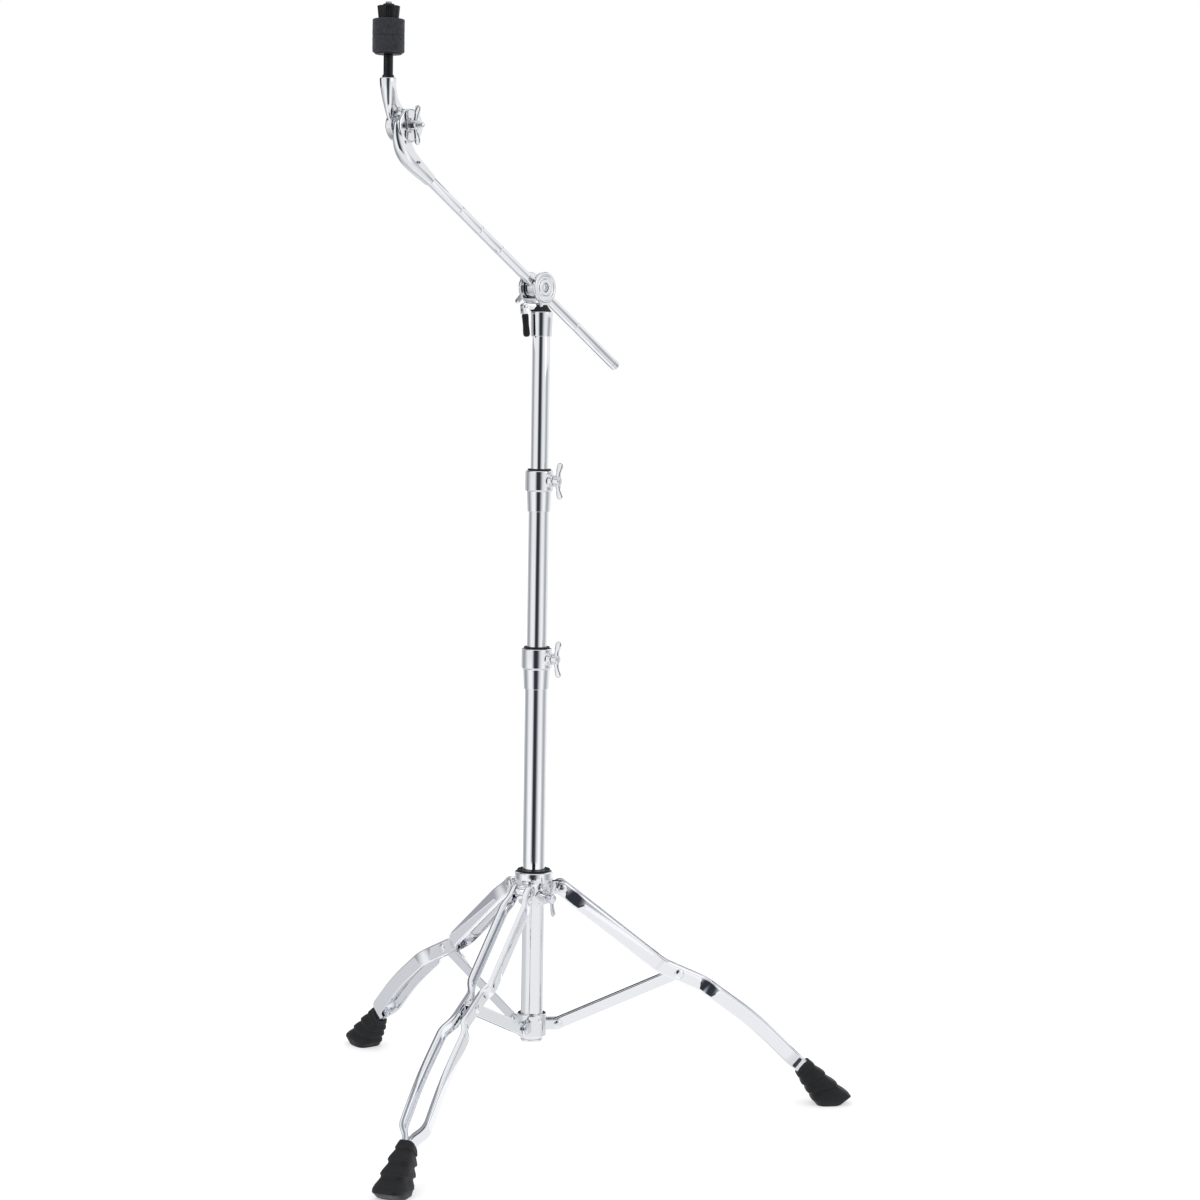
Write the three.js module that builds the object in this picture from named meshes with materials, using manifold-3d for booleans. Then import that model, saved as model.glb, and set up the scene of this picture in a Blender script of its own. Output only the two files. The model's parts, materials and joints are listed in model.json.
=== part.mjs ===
import * as THREE from 'three';
import { mergeVertices } from 'three/addons/utils/BufferGeometryUtils.js';
import Module from 'manifold-3d';

const wasm = await Module();
wasm.setup();

// A double-braced boom cymbal stand, in millimetres, +Z up.
// Leg 1 points along +X. The stand's floor is z = 0.

// Clearances and facets
const seatGap = 0.3;
const roundSegments = 16;
const pinSegments = 10;
const boreSegments = 12;
const discSegments = 20;

// Shared small sizes: the break of an edge, how far a joined form reaches into the next one,
// and how far a cutter runs past a face
const edge = 1;
const sunk = 1.5;
const past = 1;

// Column tubes, each sliding in the next
const upperTubeRadius = 11.1;
const tubeWall = 1.2;
const tubeGap = 0.4;
const middleTubeRadius = upperTubeRadius + tubeGap + tubeWall;
const baseTubeRadius = middleTubeRadius + tubeGap + tubeWall;
const baseTubeBottom = 96;
const baseTubeLength = 485;
const middleTubeLength = 504;
const middleTubeInsert = 277;
const upperTubeLength = 523;
const upperTubeInsert = 306;

// Plug in the foot of the base tube
const plugFlange = 3.5;
const plugStem = 16;

// Height clamps at the tops of the base and middle tubes
const bandHeight = 25;
const bandBelowTubeTop = 3;
const bandWall = 4.6;
const bandEdge = 1.6;
const neckLength = 27;
const neckWall = 2.3;
const neckEndWall = 1.2;
const bossRadius = 7.5;
const bossReach = 5;
const clampWingAzimuth = -40;
const bushingFlange = 1.2;
const bushingSlit = 2;

// Wing bolts
const boltRadius = 3;
const wingHubRadius = 6;
const wingHubLength = 9.5;
const wingSpan = 47;
const wingThickness = 3.6;
const wingTipRadius = 4.6;
const wingSweep = 8.5;
const wingRootHalf = 3.5;
const wingWaistShare = 0.45;

// Sliding hub
const hubHeight = 42;
const hubBelowPivot = 20;
const hubBushingWall = 1.4;
const hubWall = 3.2;
const hubFlangeRadius = 24.5;
const hubFlangeHeight = 13;
const hubShoulder = 7;
const hubWingAzimuth = -60;
const hubWingDrop = 8;
const hubBossEnd = 34;
const hubPivotRadius = 36;
const hubPivotHeight = 293;
const hubLugWidth = 14;
const hubLugRadius = 8.5;

// Fixed lower collar
const collarHeight = 30;
const collarWall = 4.4;
const collarPivotRadius = 33;
const collarPivotHeight = 114;
const collarEarThickness = 3;
const collarEarRadius = 7;
const collarRivetRadius = 3.5;
const collarRivetHeight = 1.4;

// Legs: two pressed channel bars each, pinched at the knee and the foot
const legCount = 3;
const barHeight = 19;
const barThickness = 6.5;
const barWall = 2;
const barEdge = 1;
const legPinRadius = 4;
const pinHeadOverhang = 2;
const pinHeadHeight = 1.8;
const kneeRadius = 191;
const kneeHeight = 178.5;
const kneeSlope = 24;
const pinchAboveKnee = 24;
const pinchBelowKnee = 35;
const upperSplay = 15;
const lowerSplay = 16;
const hubStraight = 13;
const splayRun = 15;
const archRise = 6;
const footStraight = 6.5;
const barInFoot = 24;
const kneeRivetRadius = 6.5;
const kneeRivetHeight = 2.4;
const pathCorner = 6;

// Stays from the lower collar to the knees
const stayWidth = 8;
const stayHeight = 15;
const stayWall = 1.5;
const stayPinRadius = 3;

// Round ends of the bars and stays, as shares of the half height: how far out a section lies, and its height
const roundEndShares = [0.92, 0.6, 0];
const roundEndScale = [0.39, 0.8, 1];

// Rubber feet
const footNeckRadius = 358.5;
const footNeckHeight = 50.8;
const footSlope = 41;
const footNeckDepth = 25;
const footNeckWidth = 20;
const footSoleWidth = 40;
const footSoleLength = 31;
const footToeReach = 46;
const footHeelReach = 27.5;
const footToeHeight = 11;
const footSoleInset = 2.5;
const footRib = 2;
const footRibStarts = [0.16, 0.44, 0.72];
const footRibLength = 0.2;
const footPower = 3.4;
const footPoints = 12;

// Boom tilter on top of the upper tube
const boomAzimuth = 220;
const boomElevation = 33;
const boomPivotAboveTube = 35.5;
const boomSideOffset = 8;
const ferruleLength = 31;
const ferruleWall = 1.3;
const ferruleTopWall = 2.7;
const cheekRadius = 20;
const cheekThickness = 4.5;
const cheekGrooveDepth = 0.8;
const cheekGrooveInner = 13.6;
const cheekGrooveOuter = 16.8;
const ferruleDrop = 30;
const neckTopDrop = 19;
const neckHalfWidth = 7;
const neckFootRadius = 12.2;
const webShare = 0.72;
const barrelRadius = 14;
const barrelWallOverRod = 1.9;
const trunnionRadius = 5.5;
const frictionWasher = 1;

// Swivel lock lever on the tilter's neck
const leverAzimuth = 203;
const leverPivotRadius = 25;
const leverPivotDrop = 24;
const leverLength = 38;
const leverWidth = 8;
const leverTongue = 3.6;
const leverPinRadius = 1.6;
const leverLean = 6;
const leverTongueHalf = 4;
const leverEarRadius = 4.5;
const leverRootLength = 9;
const leverShankRadius = 2;

// Boom rod
const rodRadius = 6.35;
const rodTail = 177;
const rodHead = 268;
const rodRings = [-84, 84, 126, 168];
const rodRingWidth = 1.2;
const rodRingDepth = 0.5;
const endCapLength = 6;
const endCapWall = 3;

// Ratchet tilter at the boom's head, in the boom's own frame
const armStart = 227;
const ratchetReach = 297.7;
const ratchetRise = 27.7;
const ratchetRadius = 20;
const ratchetThickness = 11.5;
const toothCount = 20;
const toothHeight = 1;
const toothRoot = 0.05;
const toothInnerRadius = 8;
const toothOuterRadius = 18.4;
const ratchetSweepRoom = 2.5;
const setScrewReach = 262;
const setScrewRadius = 2.2;
const setScrewLength = 5;
const tilterBoltEnd = 33;
const tilterBoltHeadRadius = 7;
const tilterBoltHeadHeight = 4.5;
const washerRadius = 9;
const washerThickness = 1.6;

// Cymbal seat
const seatOffset = 26.7;
const armTopRise = 54.5;
const armTopRadius = 9.6;
const studRadius = 4;
const studSocket = 18;
const sleeveRadius = 5.65;
const sleeveUpperRadius = 5;
const sleeveFlangeRadius = 7;
const sleeveFlangeHeight = 2.4;
const sleeveLowerLength = 24;
const cupRadius = 17;
const cupThickness = 1.6;
const feltRadius = 19.2;
const feltThickness = 19.5;
const feltEdge = 2;
const nutRadius = 13.6;
const nutHeight = 15;
const nutTaper = 1.4;
const nutFlutes = 8;
const nutFluteDepth = 0.9;
const nutCollarWall = 2.6;
const nutCollarHeight = 2.5;
const studAboveNut = 4.9;

// Finishes
const chrome = { color: 0xd9dcdf, roughness: 0.12, metalness: 1 };
const rubber = { color: 0x17181a, roughness: 0.7, metalness: 0 };
const blackPlastic = { color: 0x1d1e23, roughness: 0.45, metalness: 0 };
const greyFelt = { color: 0x474a52, roughness: 0.95, metalness: 0 };

const rad = THREE.MathUtils.degToRad;
const stand = new THREE.Group();

// Geometry helpers

function weld(geometry) {
  const bare = geometry.clone();
  for (const name of Object.keys(bare.attributes)) if (name !== 'position') bare.deleteAttribute(name);
  const merged = mergeVertices(bare, 1e-4);
  const index = [];
  const source = merged.index.array;
  for (let i = 0; i < source.length; i += 3) {
    const [a, b, c] = [source[i], source[i + 1], source[i + 2]];
    if (a !== b && b !== c && c !== a) index.push(a, b, c);
  }
  merged.setIndex(index);
  return facingOut(merged);
}

function facingOut(geometry) {
  const p = geometry.attributes.position;
  const index = geometry.index.array;
  const [a, b, c] = [new THREE.Vector3(), new THREE.Vector3(), new THREE.Vector3()];
  let volume = 0;
  for (let i = 0; i < index.length; i += 3) {
    a.fromBufferAttribute(p, index[i]);
    b.fromBufferAttribute(p, index[i + 1]);
    c.fromBufferAttribute(p, index[i + 2]);
    volume += a.dot(b.cross(c));
  }
  if (volume < 0) {
    for (let i = 0; i < index.length; i += 3) [index[i], index[i + 1]] = [index[i + 1], index[i]];
  }
  return geometry;
}

function toSolid(geometry) {
  const welded = weld(geometry);
  return new wasm.Manifold(new wasm.Mesh({
    numProp: 3,
    vertProperties: new Float32Array(welded.attributes.position.array),
    triVerts: new Uint32Array(welded.index.array),
  }));
}

function toGeometry(solid) {
  const mesh = solid.getMesh();
  const geometry = new THREE.BufferGeometry();
  geometry.setAttribute('position', new THREE.BufferAttribute(new Float32Array(mesh.vertProperties), 3));
  geometry.setIndex(Array.from(mesh.triVerts));
  return geometry;
}

function carve(joined, cutters = []) {
  let solid = toSolid(joined[0]);
  for (const geometry of joined.slice(1)) solid = solid.add(toSolid(geometry));
  for (const geometry of cutters) solid = solid.subtract(toSolid(geometry));
  return toGeometry(solid);
}

function addPiece(parent, name, geometry, finish) {
  const welded = weld(geometry);
  welded.computeVertexNormals();
  const mesh = new THREE.Mesh(welded, new THREE.MeshStandardMaterial({ ...finish, flatShading: true }));
  mesh.name = name;
  parent.add(mesh);
  return mesh;
}

// A profile of [radius, height] points turned about Z. One that doesn't start on the axis closes on itself.
function turned(profile, segments = roundSegments) {
  const closed = profile[0][0] === 0 ? profile : [...profile, profile[0]];
  const points = closed.map(([r, z]) => new THREE.Vector2(r, z));
  return new THREE.LatheGeometry(points, segments).rotateX(Math.PI / 2);
}

const alongX = (geometry) => geometry.rotateY(Math.PI / 2);
const alongY = (geometry) => geometry.rotateX(-Math.PI / 2);

function rod(radius, from, to, segments = pinSegments) {
  return turned([[0, from], [radius, from], [radius, to], [0, to]], segments);
}

// A rod that runs outwards from the Z axis at an azimuth and a height.
function spoke(radius, from, to, azimuth, height, segments = pinSegments) {
  return alongX(rod(radius, from, to, segments)).rotateZ(rad(azimuth)).translate(0, 0, height);
}

// A headed pin or rivet about Z, from -half to half between its heads.
function headedPin(radius, half, overhang, height, segments = pinSegments) {
  const head = radius + overhang;
  const top = half + height;
  return turned([
    [0, -top], [head - height, -top], [head, -half], [radius, -half],
    [radius, half], [head, half], [head - height, top], [0, top],
  ], segments);
}

// A flat outline drawn in X and Z, as thick as width along Y, centred on centreY.
function plate(shape, width, centreY = 0, bevel = 0) {
  const geometry = new THREE.ExtrudeGeometry(shape, {
    depth: width - 2 * bevel, curveSegments: 3, bevelEnabled: bevel > 0,
    bevelSize: bevel, bevelThickness: bevel, bevelOffset: -bevel, bevelSegments: 1,
  });
  return geometry.translate(0, 0, bevel - width / 2).rotateX(Math.PI / 2).translate(0, centreY, 0);
}

// Rings of equal point counts skinned into one closed solid.
function skin(rings) {
  const count = rings[0].length;
  const positions = rings.flat().flatMap((p) => [p.x, p.y, p.z]);
  const index = [];
  for (let i = 0; i + 1 < rings.length; i++) {
    for (let j = 0; j < count; j++) {
      const [a, b] = [i * count + j, i * count + (j + 1) % count];
      index.push(a, b, a + count, b, b + count, a + count);
    }
  }
  const last = (rings.length - 1) * count;
  for (const [a, b, c] of capTriangles(rings[0])) index.push(a, c, b);
  for (const [a, b, c] of capTriangles(rings.at(-1))) index.push(last + a, last + b, last + c);
  const geometry = new THREE.BufferGeometry();
  geometry.setAttribute('position', new THREE.Float32BufferAttribute(positions, 3));
  geometry.setIndex(index);
  return geometry;
}

// The ring's own plane gives two axes, in which its outline is cut into triangles.
function capTriangles(ring) {
  const normal = new THREE.Vector3();
  ring.forEach((p, i) => normal.add(new THREE.Vector3().crossVectors(p, ring[(i + 1) % ring.length])));
  normal.normalize();
  const u = new THREE.Vector3().subVectors(ring[1], ring[0]).normalize();
  const v = new THREE.Vector3().crossVectors(normal, u);
  return THREE.ShapeUtils.triangulateShape(ring.map((p) => new THREE.Vector2(p.dot(u), p.dot(v))), []);
}

// A section of [lateral, upright] points carried along a path that lies near the XZ plane.
// heightAt scales the section's upright size along the path.
function swept(path, section, heightAt = () => 1) {
  return skin(path.map((point, i) => {
    const before = path[Math.max(i - 1, 0)];
    const after = path[Math.min(i + 1, path.length - 1)];
    const ahead = new THREE.Vector3().subVectors(after, before).normalize();
    const upright = new THREE.Vector3(-ahead.z, 0, ahead.x).normalize();
    const lateral = new THREE.Vector3().crossVectors(upright, ahead);
    const scale = heightAt(i);
    return section.map(([l, u]) => (
      point.clone().addScaledVector(lateral, l).addScaledVector(upright, u * scale)
    ));
  }));
}

// Corners of a path cut short by chords, apart from those that hardly turn.
function roundedPath(corners, cut, leastTurn = 18) {
  const path = [corners[0]];
  for (let i = 1; i + 1 < corners.length; i++) {
    const [before, corner, after] = [corners[i - 1], corners[i], corners[i + 1]];
    const back = before.clone().sub(corner);
    const ahead = after.clone().sub(corner);
    const reach = Math.min(cut, 0.45 * back.length(), 0.45 * ahead.length());
    if (back.angleTo(ahead) > rad(180 - leastTurn)) path.push(corner);
    else path.push(corner.clone().add(back.setLength(reach)), corner.clone().add(ahead.setLength(reach)));
  }
  path.push(corners.at(-1));
  return path;
}

// A rounded ring of half sizes a and b about a centre; a high power squares it off.
function roundedRing(centre, u, v, a, b, power = 2, count = 16) {
  return Array.from({ length: count }, (_, k) => {
    const angle = (2 * Math.PI * (k + 0.5)) / count;
    const [c, s] = [Math.cos(angle), Math.sin(angle)];
    const x = a * Math.sign(c) * Math.abs(c) ** (2 / power);
    const y = b * Math.sign(s) * Math.abs(s) ** (2 / power);
    return centre.clone().addScaledVector(u, x).addScaledVector(v, y);
  });
}

// Heights and places shared by several pieces
const baseTubeTop = baseTubeBottom + baseTubeLength;
const middleTubeBottom = baseTubeTop - middleTubeInsert;
const middleTubeTop = middleTubeBottom + middleTubeLength;
const upperTubeBottom = middleTubeTop - upperTubeInsert;
const upperTubeTop = upperTubeBottom + upperTubeLength;
const boomPivotHeight = upperTubeTop + boomPivotAboveTube;
const hubBottom = hubPivotHeight - hubBelowPivot;
const hubTop = hubBottom + hubHeight;
const legAzimuth = (leg) => (360 / legCount) * leg;

function tube(radius, bottom, length) {
  const bore = radius - tubeWall;
  return turned([[bore, bottom], [radius, bottom], [radius, bottom + length], [bore, bottom + length]]);
}

// A wing bolt along X: the shank runs back from x = 0, the wings stand out along Z.
function wingBolt(shankLength, bore = 0) {
  const tip = new THREE.Vector2(wingSweep, wingSpan / 2 - wingTipRadius);
  const waist = wingWaistShare * tip.y;
  const half = [
    [edge, wingRootHalf],
    [2 * edge, waist],
    [tip.x - wingTipRadius, tip.y],
    ...[0.7, 0.35, 0].map((turn) => [
      tip.x + wingTipRadius * Math.cos(Math.PI * turn), tip.y + wingTipRadius * Math.sin(Math.PI * turn),
    ]),
    [wingHubLength, waist],
    [wingHubLength - edge, wingRootHalf],
  ];
  const outline = [...half, ...half.toReversed().map(([x, z]) => [x, -z])];
  const shape = new THREE.Shape(outline.map(([x, z]) => new THREE.Vector2(x, z)));
  const hub = alongX(turned([
    [0, 0], [wingHubRadius, 0], [wingHubRadius, wingHubLength - edge], [wingHubRadius - edge, wingHubLength],
    [0, wingHubLength],
  ], boreSegments));
  const joined = [hub, plate(shape, wingThickness, 0, edge)];
  if (shankLength > 0) joined.push(alongX(rod(boltRadius, -shankLength, sunk)));
  const cutters = bore > 0 ? [alongX(rod(bore, -past, wingHubLength + past))] : [];
  return carve(joined, cutters);
}

function addRadialWingBolt(parent, name, azimuth, height, seatRadius, tipRadius) {
  const mesh = addPiece(parent, name, wingBolt(seatRadius - tipRadius), chrome);
  mesh.position.set(seatRadius * Math.cos(rad(azimuth)), seatRadius * Math.sin(rad(azimuth)), height);
  mesh.rotation.z = rad(azimuth);
}

// Column

addPiece(stand, 'base_tube', tube(baseTubeRadius, baseTubeBottom, baseTubeLength), chrome);
addPiece(stand, 'middle_tube', tube(middleTubeRadius, middleTubeBottom, middleTubeLength), chrome);
addPiece(stand, 'upper_tube', tube(upperTubeRadius, upperTubeBottom, upperTubeLength), chrome);

function basePlug() {
  const stem = baseTubeRadius - tubeWall - seatGap;
  const seat = baseTubeBottom - seatGap;
  const low = seat - plugFlange;
  return turned([
    [0, low], [baseTubeRadius - edge, low], [baseTubeRadius, low + edge],
    [baseTubeRadius, seat], [stem, seat], [stem, seat + plugStem], [0, seat + plugStem],
  ]);
}
addPiece(stand, 'base_plug', basePlug(), blackPlastic);

function heightClamp(tubeRadius, tubeTop) {
  const bore = tubeRadius + seatGap;
  const band = tubeRadius + seatGap + bandWall;
  const low = tubeTop - bandBelowTubeTop;
  const high = low + bandHeight;
  const body = turned([
    [bore, low - neckLength], [bore + neckEndWall, low - neckLength], [bore + neckWall, low - bandEdge],
    [band - bandEdge, low], [band, low + bandEdge], [band, high - bandEdge], [band - bandEdge, high],
    [bore, high],
  ]);
  const middle = (low + high) / 2;
  const face = band + bossReach;
  const boss = spoke(bossRadius, bore + sunk, face, clampWingAzimuth, middle, boreSegments);
  const screwHole = spoke(boltRadius + seatGap, bore - 2 * past, face + past, clampWingAzimuth, middle);
  return carve([body, boss], [screwHole]);
}

// A plastic liner that fills the clamp above the outer tube and guides the inner one.
function bushing(innerRadius, outerRadius, bottom, top, flangeRadius) {
  const lip = top + seatGap;
  const body = turned([
    [innerRadius, bottom], [outerRadius, bottom], [outerRadius, lip], [flangeRadius, lip],
    [flangeRadius, lip + bushingFlange], [innerRadius, lip + bushingFlange],
  ]);
  const slit = new THREE.BoxGeometry(2 * flangeRadius, bushingSlit, 2 * (top - bottom));
  slit.translate(-flangeRadius, 0, (top + bottom) / 2).rotateZ(rad(clampWingAzimuth));
  return carve([body], [slit]);
}

const heightClamps = [
  { name: 'base', outer: baseTubeRadius, inner: middleTubeRadius, top: baseTubeTop },
  { name: 'middle', outer: middleTubeRadius, inner: upperTubeRadius, top: middleTubeTop },
];
for (const { name, outer, inner, top } of heightClamps) {
  const bandTop = top - bandBelowTubeTop + bandHeight;
  const bandRadius = outer + seatGap + bandWall;
  const liner = bushing(inner + seatGap, outer, top + seatGap, bandTop, bandRadius - bandEdge - edge);
  addPiece(stand, `${name}_clamp`, heightClamp(outer, top), chrome);
  addPiece(stand, `${name}_bushing`, liner, blackPlastic);
  addRadialWingBolt(
    stand, `${name}_wing_bolt`, clampWingAzimuth, bandTop - bandHeight / 2,
    bandRadius + bossReach + seatGap, outer + seatGap,
  );
}

// Sliding hub

const hubBushingInner = baseTubeRadius + seatGap;
const hubBushingOuter = hubBushingInner + hubBushingWall;
const hubBore = hubBushingOuter + seatGap;

function lug(fromRadius, toRadius, endRadius, thickness, centreY) {
  const shape = new THREE.Shape();
  shape.moveTo(fromRadius, -endRadius);
  shape.lineTo(toRadius, -endRadius);
  shape.absarc(toRadius, 0, endRadius, -Math.PI / 2, Math.PI / 2, false);
  shape.lineTo(fromRadius, endRadius);
  return plate(shape, thickness, centreY);
}

function hubCollar() {
  const wall = hubBore + hubWall;
  const flangeBottom = hubTop - hubFlangeHeight;
  const joined = [turned([
    [hubBore, hubBottom], [wall - edge, hubBottom], [wall, hubBottom + edge],
    [wall, flangeBottom - hubShoulder], [hubFlangeRadius, flangeBottom],
    [hubFlangeRadius, hubTop - 2 * edge], [hubFlangeRadius - 2 * edge, hubTop], [hubBore, hubTop],
  ])];
  const holes = [];
  for (let leg = 0; leg < legCount; leg++) {
    const turn = rad(legAzimuth(leg));
    const oneLug = lug(hubBore + sunk, hubPivotRadius, hubLugRadius, hubLugWidth, 0);
    const hole = alongY(rod(legPinRadius + seatGap, -hubLugWidth, hubLugWidth));
    joined.push(oneLug.translate(0, 0, hubPivotHeight).rotateZ(turn));
    holes.push(hole.translate(hubPivotRadius, 0, hubPivotHeight).rotateZ(turn));
  }
  const wingHeight = hubPivotHeight - hubWingDrop;
  joined.push(spoke(bossRadius, hubBore + sunk, hubBossEnd, hubWingAzimuth, wingHeight, boreSegments));
  holes.push(spoke(boltRadius + seatGap, hubBore - past, hubBossEnd + past, hubWingAzimuth, wingHeight));
  return carve(joined, holes);
}
addPiece(stand, 'hub_collar', hubCollar(), chrome);
const hubLiner = bushing(hubBushingInner, hubBushingOuter, hubBottom, hubTop, hubBore + hubWall - edge);
addPiece(stand, 'hub_bushing', hubLiner, blackPlastic);
addRadialWingBolt(
  stand, 'hub_wing_bolt', hubWingAzimuth, hubPivotHeight - hubWingDrop,
  hubBossEnd + seatGap, hubBushingOuter + seatGap,
);

// Lower collar

function lowerCollar() {
  const bore = baseTubeRadius + seatGap;
  const wall = bore + collarWall;
  const low = collarPivotHeight - collarHeight / 2;
  const high = collarPivotHeight + collarHeight / 2;
  const joined = [turned([
    [bore, low], [wall - edge, low], [wall, low + edge],
    [wall, high - edge], [wall - edge, high], [bore, high],
  ])];
  const pinHoles = [];
  const earCentre = stayWidth / 2 + seatGap + collarEarThickness / 2;
  for (let leg = 0; leg < legCount; leg++) {
    const turn = rad(legAzimuth(leg));
    for (const side of [-1, 1]) {
      const ear = lug(bore + sunk, collarPivotRadius, collarEarRadius, collarEarThickness, side * earCentre);
      joined.push(ear.translate(0, 0, collarPivotHeight).rotateZ(turn));
    }
    const hole = alongY(rod(stayPinRadius + seatGap, -2 * earCentre, 2 * earCentre));
    pinHoles.push(hole.translate(collarPivotRadius, 0, collarPivotHeight).rotateZ(turn));
    joined.push(spoke(
      collarRivetRadius, wall - sunk, wall + collarRivetHeight,
      legAzimuth(leg + 0.5), collarPivotHeight + collarHeight / 4,
    ));
  }
  return carve(joined, pinHoles);
}
addPiece(stand, 'lower_collar', lowerCollar(), chrome);

// Legs

const inPlane = (r, z, lateral = 0) => new THREE.Vector3(r, lateral, z);
const downhill = (slope) => inPlane(Math.cos(rad(slope)), -Math.sin(rad(slope)));
const hubPivot = inPlane(hubPivotRadius, hubPivotHeight);
const knee = inPlane(kneeRadius, kneeHeight);
const footNeck = inPlane(footNeckRadius, footNeckHeight);
const pinchTop = knee.clone().addScaledVector(downhill(kneeSlope), -pinchAboveKnee);
const pinchEnd = knee.clone().addScaledVector(downhill(kneeSlope), pinchBelowKnee);
const hubOffset = hubLugWidth / 2 + seatGap + barThickness / 2;
const kneeOffset = stayWidth / 2 + seatGap + barThickness / 2;
const footOffset = (seatGap + barThickness) / 2;

function barSection() {
  const [t, h] = [barThickness / 2, barHeight / 2];
  return [
    [-t, h], [t - barEdge, h], [t, h - barEdge], [t, -h], [-t, -h],
    [-t, barWall - h], [t - barWall, barWall - h], [t - barWall, h - barWall], [-t, h - barWall],
  ];
}

function barPath() {
  const down = pinchTop.clone().sub(hubPivot).normalize();
  const footward = downhill(footSlope);
  const archMiddle = pinchEnd.clone().lerp(footNeck, 0.5);
  const chord = footNeck.clone().sub(pinchEnd).normalize();
  archMiddle.add(new THREE.Vector3(-chord.z, 0, chord.x).multiplyScalar(archRise));
  const firstArch = archMiddle.clone().sub(pinchEnd).normalize();
  const at = (point, direction, distance, lateral) => (
    point.clone().addScaledVector(direction, distance).setY(lateral)
  );
  const straights = [
    at(hubPivot, down, hubStraight, hubOffset),
    at(hubPivot, down, hubStraight + splayRun, upperSplay),
    at(pinchTop, down, -splayRun, upperSplay),
    at(pinchTop, down, 0, kneeOffset),
    at(pinchEnd, down, 0, kneeOffset),
    at(pinchEnd, firstArch, splayRun, lowerSplay),
    archMiddle.setY(lowerSplay),
    at(footNeck, footward, -splayRun - footStraight, lowerSplay),
    at(footNeck, footward, -footStraight, footOffset),
    at(footNeck, footward, barInFoot, footOffset),
  ];
  const end = barHeight / 2;
  const roundEnd = roundEndShares.map((share) => at(hubPivot, down, -end * share, hubOffset));
  return [...roundEnd, ...roundedPath([roundEnd.at(-1), ...straights], pathCorner).slice(1)];
}

function legBar(side) {
  const bar = swept(barPath(), barSection(), (i) => roundEndScale[i] ?? 1);
  const face = kneeOffset + barThickness / 2;
  const rivetTop = face + kneeRivetHeight;
  const rivet = alongY(turned([
    [0, face - sunk], [kneeRivetRadius, face - sunk], [kneeRivetRadius, rivetTop - edge],
    [kneeRivetRadius - 2 * edge, rivetTop], [0, rivetTop],
  ], pinSegments)).translate(knee.x, 0, knee.z);
  const pinHole = alongY(rod(legPinRadius + seatGap, 0, 2 * hubOffset)).translate(hubPivot.x, 0, hubPivot.z);
  return carve([bar, rivet], [pinHole]).scale(1, side, 1);
}

const stayStart = inPlane(collarPivotRadius, collarPivotHeight);
const stayLine = knee.clone().sub(stayStart);

// An upturned channel, open below, with round ends about its two pivots.
function stay() {
  const [w, h] = [stayWidth / 2, stayHeight / 2];
  const section = [
    [-w, -h], [-w, h - edge], [edge - w, h], [w - edge, h], [w, h - edge], [w, -h],
    [w - stayWall, -h], [w - stayWall, h - stayWall], [stayWall - w, h - stayWall], [stayWall - w, -h],
  ];
  const along = stayLine.clone().normalize();
  const length = stayLine.length();
  const near = roundEndShares.map((share) => -share * h);
  const far = roundEndShares.map((share) => length + share * h);
  const path = [...near, ...far.toReversed()].map((s) => stayStart.clone().addScaledVector(along, s));
  const scale = [...roundEndScale, ...roundEndScale.toReversed()];
  const body = swept(path, section, (i) => scale[i]);
  const hole = alongY(rod(stayPinRadius + seatGap, -stayWidth, stayWidth));
  return carve([body], [hole.translate(stayStart.x, 0, stayStart.z)]);
}

// A moulded boot: rounded sections turn from the leg's slope down to the flat sole, with stepped ribs.
function foot() {
  const footward = downhill(footSlope);
  const across = inPlane(Math.sin(rad(footSlope)), Math.cos(rad(footSlope)));
  const heelTop = footNeck.clone().addScaledVector(across, -footNeckDepth / 2);
  const toeTop = footNeck.clone().addScaledVector(across, footNeckDepth / 2);
  const heel = inPlane(heelTop.x + footHeelReach, 0);
  const soleToe = inPlane(heel.x + footSoleLength, 0);
  const toe = inPlane(heel.x + footToeReach, footToeHeight);
  const side = new THREE.Vector3(0, 1, 0);
  const sections = [];
  const addSection = (share, swell) => {
    const back = heelTop.clone().lerp(inPlane(heel.x - 3, 4), share);
    const front = toeTop.clone().lerp(toe, share);
    const width = THREE.MathUtils.lerp(footNeckWidth, footSoleWidth, share ** 0.8) + 2 * swell;
    const centre = back.clone().lerp(front, 0.5);
    const u = front.clone().sub(back);
    const a = u.length() / 2 + swell;
    sections.push(roundedRing(centre, u.normalize(), side, a, width / 2, footPower, footPoints));
  };
  addSection(0, 0);
  addSection(0.1, 0.3);
  for (const start of footRibStarts) {
    addSection(start, -footRib / 2);
    addSection(start + footRibLength / 4, footRib / 2);
    addSection(start + footRibLength, footRib / 2);
  }
  addSection(1, 0);
  const soleCentre = heel.clone().lerp(soleToe, 0.5);
  const [a, b] = [footSoleLength / 2, footSoleWidth / 2 - footSoleInset];
  sections.push(roundedRing(soleCentre, inPlane(1, 0), side, a, b, footPower, footPoints));
  const [back, end] = [-footNeckDepth, barInFoot + seatGap];
  const pocket = new THREE.BoxGeometry(end - back, 4 * footOffset + 2 * seatGap, barHeight + 2 * seatGap);
  pocket.translate((end + back) / 2, 0, 0).rotateY(rad(footSlope)).translate(footNeck.x, 0, footNeck.z);
  return carve([skin(sections)], [pocket]);
}

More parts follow.
